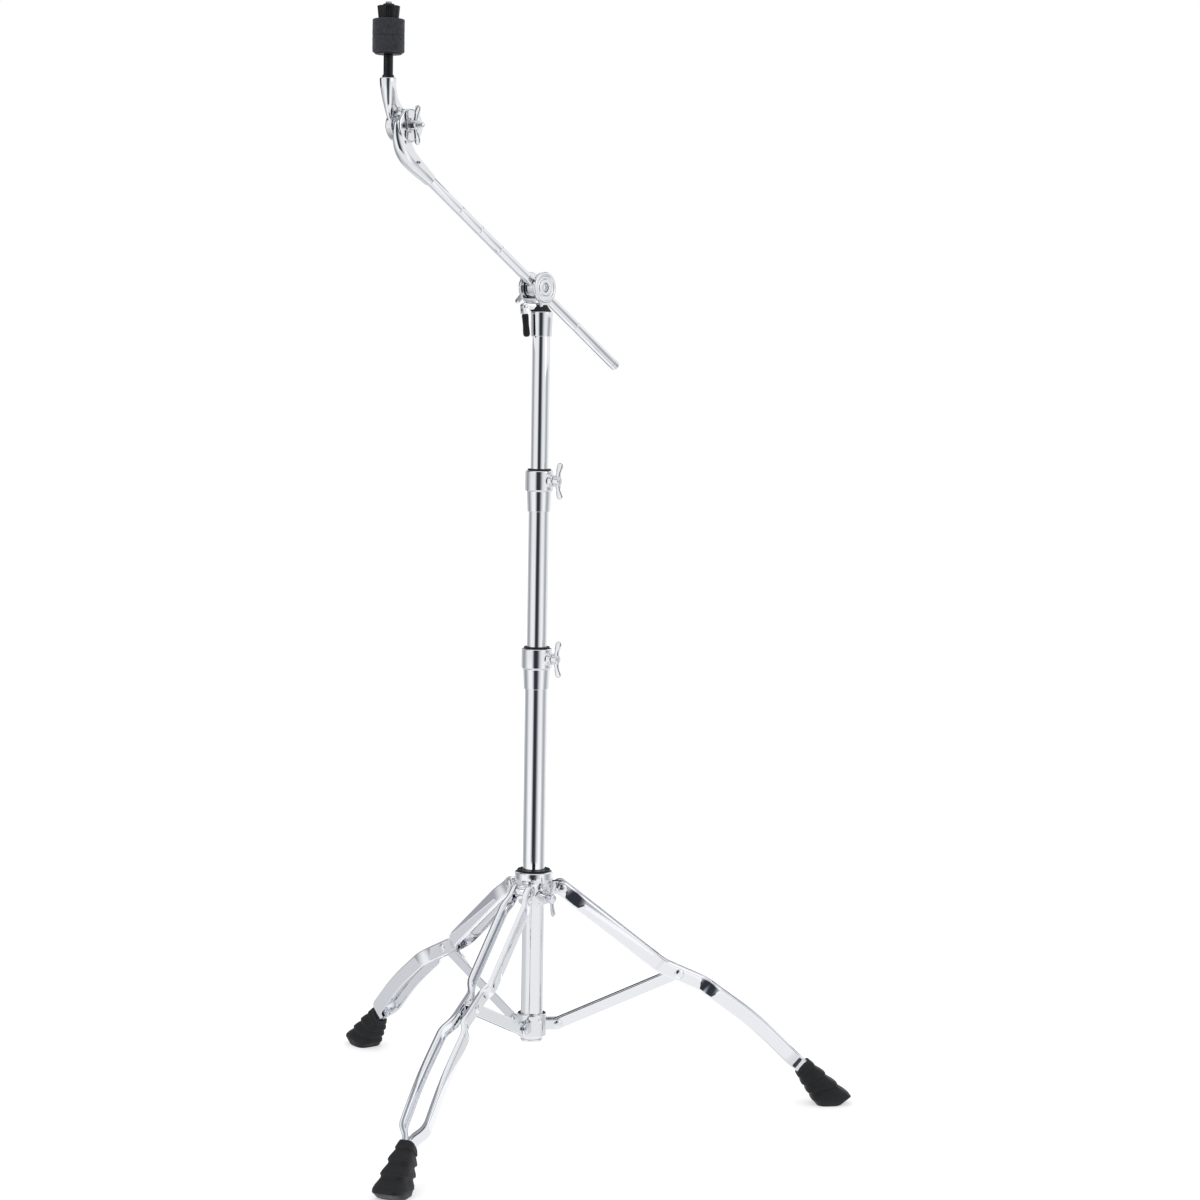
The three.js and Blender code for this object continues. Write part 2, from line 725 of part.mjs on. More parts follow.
const legBarGeometry = { left: legBar(1), right: legBar(-1) };
const footGeometry = foot();
const stayGeometry = stay();
for (let leg = 0; leg < legCount; leg++) {
  const legGroup = new THREE.Group();
  legGroup.rotation.z = rad(legAzimuth(leg));
  stand.add(legGroup);
  const name = `leg_${leg + 1}`;
  for (const [side, geometry] of Object.entries(legBarGeometry)) {
    addPiece(legGroup, `${name}_bar_${side}`, geometry, chrome);
  }
  const barFace = hubOffset + barThickness / 2;
  const legPinShape = headedPin(legPinRadius, barFace + seatGap, pinHeadOverhang, pinHeadHeight);
  addPiece(legGroup, `${name}_hub_pin`, alongY(legPinShape), chrome).position.copy(hubPivot);
  addPiece(legGroup, `${name}_foot`, footGeometry, rubber);
  addPiece(legGroup, `stay_${leg + 1}`, stayGeometry, chrome);
  const earFace = stayWidth / 2 + seatGap + collarEarThickness;
  const stayPinShape = headedPin(stayPinRadius, earFace + seatGap, pinHeadOverhang, pinHeadHeight);
  addPiece(legGroup, `stay_${leg + 1}_pin`, alongY(stayPinShape), chrome).position.copy(stayStart);
}

// Boom tilter, in a frame whose X points along the boom's plan direction

const head = new THREE.Group();
head.rotation.z = rad(boomAzimuth);
stand.add(head);

const barrelHalf = rodRadius + seatGap + barrelWallOverRod;
const cheekInner = barrelHalf + frictionWasher + 2 * seatGap;
const cheekOuter = cheekInner + cheekThickness;
const leverLocalAzimuth = rad(leverAzimuth - boomAzimuth);

// The neck swells out of the ferrule and leans to the side where the boom passes.
function tilterNeck(ferruleTop) {
  const across = new THREE.Vector3(1, 0, 0);
  const side = new THREE.Vector3(0, 1, 0);
  const top = boomPivotHeight - neckTopDrop;
  const rise = top - ferruleTop;
  const rings = [
    [ferruleTop - sunk, 0, neckFootRadius, neckFootRadius],
    [ferruleTop + 0.35 * rise, 0.45, neckHalfWidth + 3.5, neckFootRadius],
    [ferruleTop + 0.7 * rise, 0.9, neckHalfWidth + 1.5, cheekOuter - edge],
    [top, 1, neckHalfWidth, cheekOuter - edge],
  ];
  return skin(rings.map(([z, lean, a, b]) => (
    roundedRing(new THREE.Vector3(0, -lean * boomSideOffset, z), across, side, a, b, 2.6, 14)
  )));
}

function cheekWeb() {
  const low = boomPivotHeight - neckTopDrop - cheekThickness;
  const high = boomPivotHeight - webShare * cheekRadius;
  const shape = new THREE.Shape();
  shape.moveTo(-neckHalfWidth - edge, low);
  shape.lineTo(neckHalfWidth + edge, low);
  shape.lineTo(cheekRadius * webShare, high + cheekThickness / 2);
  shape.lineTo(-cheekRadius * webShare, high + cheekThickness / 2);
  return shape;
}

function tilterBase() {
  const bore = upperTubeRadius + seatGap;
  const capBottom = upperTubeTop + seatGap;
  const ferruleTop = boomPivotHeight - ferruleDrop;
  const ferruleBottom = ferruleTop - ferruleLength;
  const ferrule = turned([
    [0, capBottom], [bore, capBottom], [bore, ferruleBottom], [bore + ferruleWall, ferruleBottom],
    [bore + ferruleTopWall, ferruleTop - 2 * edge], [bore + ferruleTopWall - edge, ferruleTop],
    [0, ferruleTop],
  ]);
  const joined = [ferrule, tilterNeck(ferruleTop)];
  const cutters = [];
  const half = cheekThickness / 2;
  for (const side of [-1, 1]) {
    const centreY = side * (cheekInner + half) - boomSideOffset;
    joined.push(plate(cheekWeb(), cheekThickness - edge, centreY));
    const cheek = turned([
      [0, -half], [cheekRadius - edge, -half], [cheekRadius, edge - half],
      [cheekRadius, half - edge], [cheekRadius - edge, half], [0, half],
    ], discSegments);
    joined.push(alongY(cheek).translate(0, centreY, boomPivotHeight));
    const groove = turned([
      [cheekGrooveInner, 0], [cheekGrooveOuter, 0], [cheekGrooveOuter, half], [cheekGrooveInner, half],
    ], discSegments);
    const grooveY = side * (cheekOuter - cheekGrooveDepth) - boomSideOffset;
    cutters.push(alongY(groove.scale(1, 1, side)).translate(0, grooveY, boomPivotHeight));
    const trunnionHole = alongY(rod(trunnionRadius + seatGap, -cheekThickness, cheekThickness, boreSegments));
    cutters.push(trunnionHole.translate(0, centreY, boomPivotHeight));
  }
  const tongueShape = new THREE.Shape();
  tongueShape.moveTo(leverTongueHalf, -leverTongueHalf - sunk);
  tongueShape.lineTo(leverPivotRadius, -leverTongueHalf);
  tongueShape.absarc(leverPivotRadius, 0, leverTongueHalf, -Math.PI / 2, Math.PI / 2, false);
  tongueShape.lineTo(leverTongueHalf, leverTongueHalf + edge);
  const leverHeight = boomPivotHeight - leverPivotDrop;
  joined.push(plate(tongueShape, leverTongue).translate(0, 0, leverHeight).rotateZ(leverLocalAzimuth));
  const leverHole = alongY(rod(leverPinRadius + seatGap, -leverTongue, leverTongue));
  leverHole.translate(leverPivotRadius, 0, leverHeight);
  cutters.push(leverHole.rotateZ(leverLocalAzimuth));
  return carve(joined, cutters);
}
addPiece(head, 'tilter_base', tilterBase(), chrome);

// The lever hangs beside the ferrule. Its forked root is chrome and its grip is moulded over the shank.
const leverGroup = new THREE.Group();
leverGroup.position.set(
  leverPivotRadius * Math.cos(leverLocalAzimuth), leverPivotRadius * Math.sin(leverLocalAzimuth),
  boomPivotHeight - leverPivotDrop,
);
leverGroup.rotation.set(0, rad(leverLean), leverLocalAzimuth, 'ZYX');
head.add(leverGroup);

const leverShankEnd = 6 - leverLength;

function leverRoot() {
  const shape = new THREE.Shape();
  shape.moveTo(-leverWidth / 2, -leverRootLength);
  shape.lineTo(leverWidth / 2, -leverRootLength);
  shape.lineTo(leverEarRadius, 0);
  shape.absarc(0, 0, leverEarRadius, 0, Math.PI, false);
  const slotHeight = 3 * leverEarRadius;
  const slot = new THREE.BoxGeometry(slotHeight, leverTongue + 2 * seatGap, slotHeight).translate(0, 0, sunk);
  const shank = rod(leverShankRadius, leverShankEnd, edge - leverRootLength);
  const pinHole = alongY(rod(leverPinRadius + seatGap, -leverWidth, leverWidth));
  return carve([plate(shape, leverWidth), shank], [slot, pinHole]);
}

function leverGrip() {
  const across = new THREE.Vector3(1, 0, 0);
  const side = new THREE.Vector3(0, 1, 0);
  const top = -leverRootLength - seatGap;
  const bottom = -leverLength;
  const stations = [
    [top, 3.2, 3.4], [top - 2, 3.9, 4], [(top + bottom) / 2, 3.6, 4], [bottom + 6, 3.9, 4.2],
    [bottom + 2, 3.6, 3.8], [bottom, 2.2, 2.4],
  ];
  const rings = stations.map(([z, a, b]) => (
    roundedRing(new THREE.Vector3(0, 0, z), across, side, a, b, 2.8, 12)
  ));
  return carve([skin(rings)], [rod(leverShankRadius + seatGap, leverShankEnd - seatGap, top + past)]);
}
addPiece(leverGroup, 'swivel_lever', leverRoot(), chrome);
addPiece(leverGroup, 'swivel_lever_grip', leverGrip(), blackPlastic);
const leverPin = headedPin(leverPinRadius, leverWidth / 2 + seatGap, edge, edge);
addPiece(leverGroup, 'swivel_lever_pin', alongY(leverPin), chrome);

// Boom, in a frame whose X runs up along the rod from the tilter's pivot

const boom = new THREE.Group();
boom.position.set(0, -boomSideOffset, boomPivotHeight);
boom.rotation.y = -rad(boomElevation);
head.add(boom);

const clampWingSeat = cheekOuter + seatGap;

function boomBarrel() {
  const trunnionEnd = cheekOuter - seatGap;
  const half = barrelHalf;
  const body = turned([
    [0, -trunnionEnd], [trunnionRadius, -trunnionEnd], [trunnionRadius, -half],
    [barrelRadius - edge, -half], [barrelRadius, edge - half],
    [barrelRadius, half - edge], [barrelRadius - edge, half],
    [trunnionRadius, half], [trunnionRadius, trunnionEnd], [0, trunnionEnd],
  ]);
  const rodHole = alongX(rod(rodRadius + seatGap, -barrelRadius - past, barrelRadius + past, roundSegments));
  const screwHole = alongY(rod(boltRadius + seatGap, -trunnionEnd - past, 0));
  return carve([alongY(body)], [rodHole, screwHole]);
}
addPiece(boom, 'boom_barrel', boomBarrel(), chrome);

for (const [name, side] of [['boom_washer_left', -1], ['boom_washer_right', 1]]) {
  const half = frictionWasher / 2;
  const bore = trunnionRadius + seatGap;
  const profile = [[bore, -half], [barrelRadius, -half], [barrelRadius, half], [bore, half]];
  const ring = turned(profile, boreSegments);
  addPiece(boom, name, alongY(ring).translate(0, side * (barrelHalf + seatGap + half), 0), blackPlastic);
}

const boomWing = addPiece(boom, 'boom_wing_bolt', wingBolt(clampWingSeat - rodRadius - seatGap), chrome);
boomWing.position.y = -clampWingSeat;
boomWing.rotation.set(0, 0, -Math.PI / 2);

// The rod, with shallow setting rings cut round it.
const rodSpigot = rodRadius - edge;
const capEnd = endCapLength - rodTail;

function boomRod() {
  const profile = [[0, -rodTail], [rodSpigot, -rodTail], [rodSpigot, capEnd], [rodRadius, capEnd]];
  for (const at of rodRings) {
    profile.push([rodRadius, at - rodRingWidth / 2], [rodRadius - rodRingDepth, at]);
    profile.push([rodRadius, at + rodRingWidth / 2]);
  }
  profile.push([rodRadius, rodHead], [0, rodHead]);
  return alongX(turned(profile, boreSegments));
}
addPiece(boom, 'boom_rod', boomRod(), chrome);

function boomEndCap() {
  const bore = rodSpigot + seatGap;
  const end = -rodTail - endCapWall;
  return alongX(turned([
    [0, end], [rodRadius - edge, end], [rodRadius, end + edge], [rodRadius, capEnd - seatGap],
    [bore, capEnd - seatGap], [bore, -rodTail - seatGap], [0, -rodTail - seatGap],
  ], boreSegments));
}
addPiece(boom, 'boom_end_cap', boomEndCap(), chrome);

// Ratchet tilter: two toothed cheeks face each other across a bolt that runs along Y

const toothGap = seatGap / 2;
const cheekFace = toothGap + toothHeight;
const cheekBack = cheekFace + ratchetThickness;

// A ring of radial teeth that stands up from z = 0, with its skirt sunk below.
function toothRing() {
  const around = 2 * toothCount;
  const ringAt = (radius, height) => Array.from({ length: around }, (_, k) => {
    const angle = (2 * Math.PI * k) / around;
    return new THREE.Vector3(radius * Math.cos(angle), radius * Math.sin(angle), height(k));
  });
  const crest = (k) => (k % 2 ? toothHeight : toothRoot);
  const low = () => -sunk;
  const loops = [
    ringAt(toothInnerRadius, low), ringAt(toothOuterRadius, low),
    ringAt(toothOuterRadius, crest), ringAt(toothInnerRadius, crest),
  ];
  const positions = loops.flat().flatMap((p) => [p.x, p.y, p.z]);
  const index = [];
  for (let loop = 0; loop < 4; loop++) {
    for (let k = 0; k < around; k++) {
      const [a, b] = [loop * around + k, loop * around + (k + 1) % around];
      const [c, d] = [((loop + 1) % 4) * around + k, ((loop + 1) % 4) * around + (k + 1) % around];
      if (k % 2) index.push(a, b, c, b, d, c);
      else index.push(a, b, d, a, d, c);
    }
  }
  const geometry = new THREE.BufferGeometry();
  geometry.setAttribute('position', new THREE.Float32BufferAttribute(positions, 3));
  geometry.setIndex(index);
  return geometry;
}

// The cheek's teeth face -Y; the other arm's cheek is its mirror image.
function ratchetCheek() {
  const disc = turned([
    [0, 0], [ratchetRadius - edge, 0], [ratchetRadius, edge], [ratchetRadius, ratchetThickness - 2 * edge],
    [ratchetRadius - 2 * edge, ratchetThickness], [0, ratchetThickness],
  ]);
  const teeth = toothRing().scale(1, 1, -1);
  return [disc, teeth].map((part) => alongY(part).translate(0, cheekFace, 0));
}

const boltHole = () => alongY(rod(boltRadius + seatGap, -cheekBack - past, cheekBack + past));
const sweepRoom = (from, to) => alongY(rod(ratchetRadius + ratchetSweepRoom, from, to, roundSegments));

// Rounded sections along a list of stations [x, y, z, width across, width along Y].
function armBody(stations) {
  const centres = stations.map(([x, y, z]) => new THREE.Vector3(x, y, z));
  const side = new THREE.Vector3(0, 1, 0);
  return skin(stations.map(([, , , a, b], i) => {
    const before = centres[Math.max(i - 1, 0)];
    const after = centres[Math.min(i + 1, centres.length - 1)];
    const ahead = after.clone().sub(before).setY(0).normalize();
    const across = new THREE.Vector3(-ahead.z, 0, ahead.x);
    return roundedRing(centres[i], across, side, a, b, 2.3, 14);
  }));
}

const ratchet = new THREE.Group();
ratchet.position.set(ratchetReach, 0, ratchetRise);
boom.add(ratchet);

function lowerArm() {
  const start = armStart - ratchetReach;
  const bore = rodRadius + seatGap;
  const middle = cheekFace + ratchetThickness / 2;
  const arm = armBody([
    [start, 0, -ratchetRise, bore + 0.9, bore + 0.9],
    [start + 16, 0, -ratchetRise, bore + 2.2, bore + 2.2],
    [start + 34, 0, -ratchetRise, bore + 3.8, bore + 3],
    [start + 48, 0.8, -ratchetRise + 1.2, bore + 5, bore + 3.2],
    [start + 60, 0.3 * middle, -0.8 * ratchetRise, bore + 5.8, bore + 2.6],
    [start + 70, 0.65 * middle, -0.55 * ratchetRise, 13, bore + 0.6],
    [start + 76, middle, -0.25 * ratchetRise, 14, ratchetThickness / 2 - 0.3],
    [start + 77.5, middle, 0, 14, ratchetThickness / 2 - 1],
  ]);
  const socket = alongX(rod(bore, start - past, rodHead - ratchetReach + seatGap, boreSegments));
  const screw = alongY(rod(setScrewRadius + seatGap, 0, 2 * ratchetRadius));
  const cutters = [
    socket.translate(0, 0, -ratchetRise),
    screw.translate(setScrewReach - ratchetReach, 0, -ratchetRise),
    boltHole(),
  ];
  const body = carve([arm], [sweepRoom(-ratchetRadius, cheekFace)]);
  return carve([body, ...ratchetCheek()], cutters);
}
addPiece(ratchet, 'tilter_lower_arm', lowerArm(), chrome);

const screwSeat = rodRadius + seatGap;
const setScrew = alongY(rod(setScrewRadius, screwSeat, screwSeat + setScrewLength));
setScrew.translate(setScrewReach - ratchetReach, 0, -ratchetRise);
addPiece(ratchet, 'tilter_set_screw', setScrew, blackPlastic);

// The upper arm and the seat stand upright at rest
const seat = new THREE.Group();
seat.rotation.y = rad(boomElevation);
ratchet.add(seat);

function upperArm() {
  const middle = -(cheekFace + ratchetThickness / 2);
  const arm = armBody([
    [0, middle, 0, 14, ratchetThickness / 2 - 1],
    [4, middle, 8, 14.5, ratchetThickness / 2 - 0.4],
    [12.5, 0.8 * middle, 19, 12.6, ratchetThickness / 2],
    [20, 0.42 * middle, 30, 10.4, 7.4],
    [24.6, 0.12 * middle, 40, 9.4, 8.6],
    [seatOffset, 0, 47, armTopRadius - 0.4, armTopRadius - 0.4],
    [seatOffset, 0, armTopRise - edge, armTopRadius, armTopRadius],
    [seatOffset, 0, armTopRise, armTopRadius - edge, armTopRadius - edge],
  ]);
  const socket = rod(studRadius + seatGap, armTopRise - studSocket, armTopRise + past);
  const cheek = ratchetCheek().map((part) => part.scale(1, -1, 1));
  const body = carve([arm], [sweepRoom(-cheekFace, ratchetRadius)]);
  return carve([body, ...cheek], [socket.translate(seatOffset, 0, 0), boltHole()]);
}
addPiece(seat, 'tilter_upper_arm', upperArm(), chrome);

// A round-headed bolt through both cheeks, with a washer and a wing nut
const washerFace = cheekBack + seatGap;
const washerBore = boltRadius + seatGap;

function tilterBolt() {
  const top = -washerFace - tilterBoltHeadHeight;
  return alongY(turned([
    [0, top], [tilterBoltHeadRadius / 2, top], [tilterBoltHeadRadius, -washerFace - 2 * edge],
    [tilterBoltHeadRadius, -washerFace], [boltRadius, -washerFace],
    [boltRadius, tilterBoltEnd - edge], [boltRadius - edge, tilterBoltEnd], [0, tilterBoltEnd],
  ], boreSegments));
}
addPiece(ratchet, 'tilter_bolt', tilterBolt(), chrome);

const washerRing = turned([
  [washerBore, 0], [washerRadius, 0], [washerRadius, washerThickness], [washerBore, washerThickness],
], boreSegments);
addPiece(ratchet, 'tilter_washer', alongY(washerRing).translate(0, washerFace, 0), chrome);

const wingNut = addPiece(ratchet, 'tilter_wing_nut', wingBolt(0, washerBore), chrome);
wingNut.position.y = washerFace + washerThickness + seatGap;
wingNut.rotation.set(0, rad(boomElevation), Math.PI / 2, 'YZX');

// Cymbal seat, stacked on the stud from the arm's top

const seatStack = new THREE.Group();
seatStack.position.set(seatOffset, 0, armTopRise);
seat.add(seatStack);

const shoulder = seatGap + sleeveFlangeHeight + sleeveLowerLength;
const cupBottom = shoulder + seatGap;
const lowerFeltBottom = cupBottom + cupThickness + seatGap;
const upperFeltBottom = lowerFeltBottom + feltThickness + seatGap;
const nutBottom = upperFeltBottom + feltThickness + seatGap;
const studTop = nutBottom + nutHeight + studAboveNut;
const studClear = studRadius + seatGap;
const sleeveClear = sleeveUpperRadius + seatGap;

addPiece(seatStack, 'cymbal_stud', turned([
  [0, seatGap - studSocket], [studRadius, seatGap - studSocket], [studRadius, studTop - edge],
  [studRadius - edge, studTop], [0, studTop],
], boreSegments), chrome);

addPiece(seatStack, 'cymbal_sleeve', turned([
  [studClear, seatGap], [sleeveFlangeRadius, seatGap], [sleeveFlangeRadius, seatGap + sleeveFlangeHeight],
  [sleeveRadius, seatGap + sleeveFlangeHeight], [sleeveRadius, shoulder], [sleeveUpperRadius, shoulder],
  [sleeveUpperRadius, nutBottom - seatGap], [studClear, nutBottom - seatGap],
], boreSegments), blackPlastic);

addPiece(seatStack, 'cup_washer', turned([
  [sleeveClear, cupBottom], [cupRadius - edge, cupBottom], [cupRadius, cupBottom + cupThickness],
  [sleeveClear, cupBottom + cupThickness],
]), blackPlastic);

function felt(bottom) {
  const top = bottom + feltThickness;
  return turned([
    [sleeveClear, bottom], [feltRadius - feltEdge, bottom], [feltRadius, bottom + feltEdge],
    [feltRadius, top - feltEdge], [feltRadius - feltEdge, top], [sleeveClear, top],
  ], discSegments);
}
addPiece(seatStack, 'lower_felt', felt(lowerFeltBottom), greyFelt);
addPiece(seatStack, 'upper_felt', felt(upperFeltBottom), greyFelt);

// A fluted nut that narrows towards the felt.
function topNut() {
  const count = 4 * nutFlutes;
  const ringAt = (height, radius) => Array.from({ length: count }, (_, k) => {
    const angle = (2 * Math.PI * k) / count;
    const r = radius - nutFluteDepth * Math.max(0, Math.cos(nutFlutes * angle)) ** 2;
    return new THREE.Vector3(r * Math.cos(angle), r * Math.sin(angle), nutBottom + height);
  });
  const rings = [
    ringAt(0, nutRadius - nutTaper - edge), ringAt(edge, nutRadius - nutTaper),
    ringAt(nutHeight - 2 * edge, nutRadius), ringAt(nutHeight, nutRadius - 2 * edge),
  ];
  const nutTop = nutBottom + nutHeight;
  const collar = rod(studRadius + nutCollarWall, nutTop - sunk, nutTop + nutCollarHeight, boreSegments);
  return carve([skin(rings), collar], [rod(studClear, nutBottom - past, studTop, boreSegments)]);
}
addPiece(seatStack, 'top_nut', topNut(), blackPlastic);

// The origin is the centre of the bottom of the whole stand's box
const box = new THREE.Box3().setFromObject(stand, true);
const centre = box.getCenter(new THREE.Vector3());
stand.position.set(-centre.x, -centre.y, -box.min.z);
stand.updateMatrixWorld(true);

export default stand;
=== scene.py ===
import json
import math

import bmesh
import bpy
import numpy as np
from mathutils import Matrix, Vector

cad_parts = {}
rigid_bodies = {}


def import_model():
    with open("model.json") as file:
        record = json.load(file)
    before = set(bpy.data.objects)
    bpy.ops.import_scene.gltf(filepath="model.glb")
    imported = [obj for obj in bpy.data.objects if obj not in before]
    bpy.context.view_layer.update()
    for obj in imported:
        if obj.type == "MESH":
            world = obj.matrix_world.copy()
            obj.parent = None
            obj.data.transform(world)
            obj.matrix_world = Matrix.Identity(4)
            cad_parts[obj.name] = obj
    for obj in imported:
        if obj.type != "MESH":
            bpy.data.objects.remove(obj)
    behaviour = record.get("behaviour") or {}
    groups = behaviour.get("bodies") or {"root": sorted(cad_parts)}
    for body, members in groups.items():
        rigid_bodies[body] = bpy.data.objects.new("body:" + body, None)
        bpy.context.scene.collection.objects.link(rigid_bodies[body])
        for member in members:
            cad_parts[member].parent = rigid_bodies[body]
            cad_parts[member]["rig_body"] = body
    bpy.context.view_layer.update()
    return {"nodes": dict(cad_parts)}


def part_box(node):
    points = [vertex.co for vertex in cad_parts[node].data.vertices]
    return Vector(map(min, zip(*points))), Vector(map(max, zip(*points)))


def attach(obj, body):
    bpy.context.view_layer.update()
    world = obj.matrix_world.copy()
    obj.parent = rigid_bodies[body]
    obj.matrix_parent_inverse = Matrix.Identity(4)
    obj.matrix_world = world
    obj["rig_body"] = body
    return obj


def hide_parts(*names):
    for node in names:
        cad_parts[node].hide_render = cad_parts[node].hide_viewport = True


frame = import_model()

print("frame loaded")

mm = 0.001
seatGap = 0.3         # the gap between neighbours in the CAD source
# Points round a surface, by its size
largeRing, castRing, middleRing, smallRing, tinyRing = 96, 72, 64, 48, 32

# Places. Sizes are in millimetres from the column's axis and the floor, as in the CAD source.

columnLow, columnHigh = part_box("upper_tube")
columnX = (columnLow.x + columnHigh.x) / 2 / mm


def turn(axis, degrees):
    angle = math.radians(degrees)
    i, j = ((1, 2), (2, 0), (0, 1))["xyz".index(axis)]
    matrix = np.eye(4)
    matrix[i, i] = matrix[j, j] = math.cos(angle)
    matrix[i, j], matrix[j, i] = -math.sin(angle), math.sin(angle)
    return matrix


def shift(x, y, z):
    matrix = np.eye(4)
    matrix[:3, 3] = x, y, z
    return matrix


def flip(axis):
    matrix = np.eye(4)
    matrix["xyz".index(axis), "xyz".index(axis)] = -1
    return matrix


joint = dict(
    headAzimuth=220, boomElevation=33, boomHeight=1060.5, boomSide=8, ratchetReach=297.7, ratchetRise=27.7,
    seatOffset=26.7, armTop=54.5, hubRadius=36, hubHeight=293, collarRadius=33, collarHeight=114,
)
standPlace = shift(columnX, 0, 0)
headPlace = standPlace @ turn("z", joint["headAzimuth"])
boomPlace = headPlace @ shift(0, -joint["boomSide"], joint["boomHeight"]) @ turn("y", -joint["boomElevation"])
ratchetPlace = boomPlace @ shift(joint["ratchetReach"], 0, joint["ratchetRise"])
seatPlace = ratchetPlace @ turn("y", joint["boomElevation"])
stackPlace = seatPlace @ shift(joint["seatOffset"], 0, joint["armTop"])
legPlaces = [standPlace @ turn("z", 120 * number) for number in range(3)]
alongX = turn("y", 90)      # what is turned about Z comes to lie along X
alongY = turn("x", -90)     # and along Y
againstY = turn("x", 90)
axisX, axisY = np.eye(3)[:2]

# Camera, at the photograph's place

photoCamera = dict(
    place=(-388.509, -3378.650, 987.279), yaw=-0.137891, pitch=0.094179, roll=0.016433, lens=80.34,
    sensor=36, clip=(0.05, 200),
)


def addObject(name, data):
    item = bpy.data.objects.new(name, data)
    bpy.context.scene.collection.objects.link(item)
    return item


def addCamera(c):
    yaw, pitch, roll = c["yaw"], c["pitch"], c["roll"]
    ahead = np.array([-math.sin(yaw) * math.cos(pitch), math.cos(yaw) * math.cos(pitch), -math.sin(pitch)])
    level = np.array([math.cos(yaw), math.sin(yaw), 0])
    above = np.cross(level, ahead)
    right = level * math.cos(roll) + above * math.sin(roll)
    up = above * math.cos(roll) - level * math.sin(roll)
    data = bpy.data.cameras.new("photoCamera")
    data.lens, data.sensor_width = c["lens"], c["sensor"]
    data.clip_start, data.clip_end = c["clip"]
    item = addObject("photoCamera", data)
    matrix = np.eye(4)
    matrix[:3, :3] = np.stack([right, up, -ahead], 1)
    matrix[:3, 3] = (np.array(c["place"]) + (columnX, 0, 0)) * mm
    item.matrix_world = Matrix(matrix.tolist())
    bpy.context.scene.camera = item


addCamera(photoCamera)
print("camera placed")

# Shapes: each is an array of points and a list of faces


def unit(vectors):
    return vectors / np.linalg.norm(vectors, axis=-1, keepdims=True)


def turned(radius, height, angle):
    # (r cos a, r sin a, h), for numbers or arrays that fit together.
    x, y = radius * np.cos(angle), radius * np.sin(angle)
    return np.stack(np.broadcast_arrays(x, y, height + 0 * angle), -1)


def circle(points):
    return np.linspace(0, 2 * np.pi, points, endpoint=False)


def gridShape(grid, roundRings=False):
    # Quads join neighbours on a grid of rings. Rings close on themselves, and the ends are capped
    # unless the rings also run round into the first one.
    rings, count = grid.shape[:2]
    index = np.arange(rings * count).reshape(rings, count)
    wide = np.hstack([index, index[:, :1]])
    if roundRings:
        wide = np.vstack([wide, wide[:1]])
    quads = np.stack([wide[:-1, :-1], wide[:-1, 1:], wide[1:, 1:], wide[1:, :-1]], -1)
    faces = quads.reshape(-1, 4).tolist()
    if not roundRings:
        faces += [index[0, ::-1].tolist(), index[-1].tolist()]
    return grid.reshape(-1, 3), faces


def moved(shape, matrix):
    points, faces = shape
    return points @ matrix[:3, :3].T + matrix[:3, 3], faces


def softCorners(corners, radius, steps=5, closed=False):
    # Each corner becomes the curve (1-t)^2 start + 2t(1-t) corner + t^2 end between its two sides.
    # An open line keeps its two ends.
    corners = np.asarray(corners, float)
    toBefore, toAfter = np.roll(corners, 1, 0) - corners, np.roll(corners, -1, 0) - corners
    before, after = np.linalg.norm(toBefore, axis=1), np.linalg.norm(toAfter, axis=1)
    reach = np.minimum(np.broadcast_to(radius, len(corners)), 0.47 * np.minimum(before, after))
    start = corners + toBefore * (reach / np.maximum(before, 1e-9))[:, None]
    end = corners + toAfter * (reach / np.maximum(after, 1e-9))[:, None]
    t = np.linspace(0, 1, steps + 1)[None, :, None]
    curve = (1 - t) ** 2 * start[:, None] + 2 * t * (1 - t) * corners[:, None] + t ** 2 * end[:, None]
    size = corners.shape[1]
    if closed:
        return curve.reshape(-1, size)
    return np.vstack([corners[:1], curve[1:-1].reshape(-1, size), corners[-1:]])


def divided(profile, pieces):
    # Each side of a closed profile is split evenly.
    share = np.linspace(0, 1, pieces + 1)[:-1, None]
    following = np.roll(profile, -1, 0)
    return (profile[:, None] * (1 - share) + following[:, None] * share).reshape(-1, 2)


def lathe(corners, soft, points=largeRing, start=0, sweep=360, steps=5):
    # A profile of (radius, height) turned about Z; soft holds the rounding of each corner.
    closed = corners[0][0] > 0
    profile = softCorners(corners, soft, steps, closed)
    whole = sweep == 360
    angle = np.radians(start + np.linspace(0, sweep, points, endpoint=not whole))[:, None]
    grid = turned(profile[None, :, 0], profile[None, :, 1], angle)
    return gridShape(grid, whole) if closed else gridShape(grid.transpose(1, 0, 2))


def bandShape(inner, outer, low, high, soft, points=largeRing):
    return lathe([(inner, low), (outer, low), (outer, high), (inner, high)], soft, points)


def throughStations(stations, perSpan=8):
    # A curve through every station: Catmull and Rom's cubic, worked out for all spans at once.
    s = np.asarray(stations, float)
    s = np.vstack([2 * s[0] - s[1], s, 2 * s[-1] - s[-2]])
    spans = len(s) - 3
    t = np.linspace(0, spans, spans * perSpan + 1)
    k = np.minimum(t.astype(int), spans - 1)
    u = (t - k)[:, None]
    a, b, c, d = s[k], s[k + 1], s[k + 2], s[k + 3]
    square, cube = 2 * a - 5 * b + 4 * c - d, 3 * b - a - 3 * c + d
    return 0.5 * (2 * b + (c - a) * u + square * u ** 2 + cube * u ** 3)


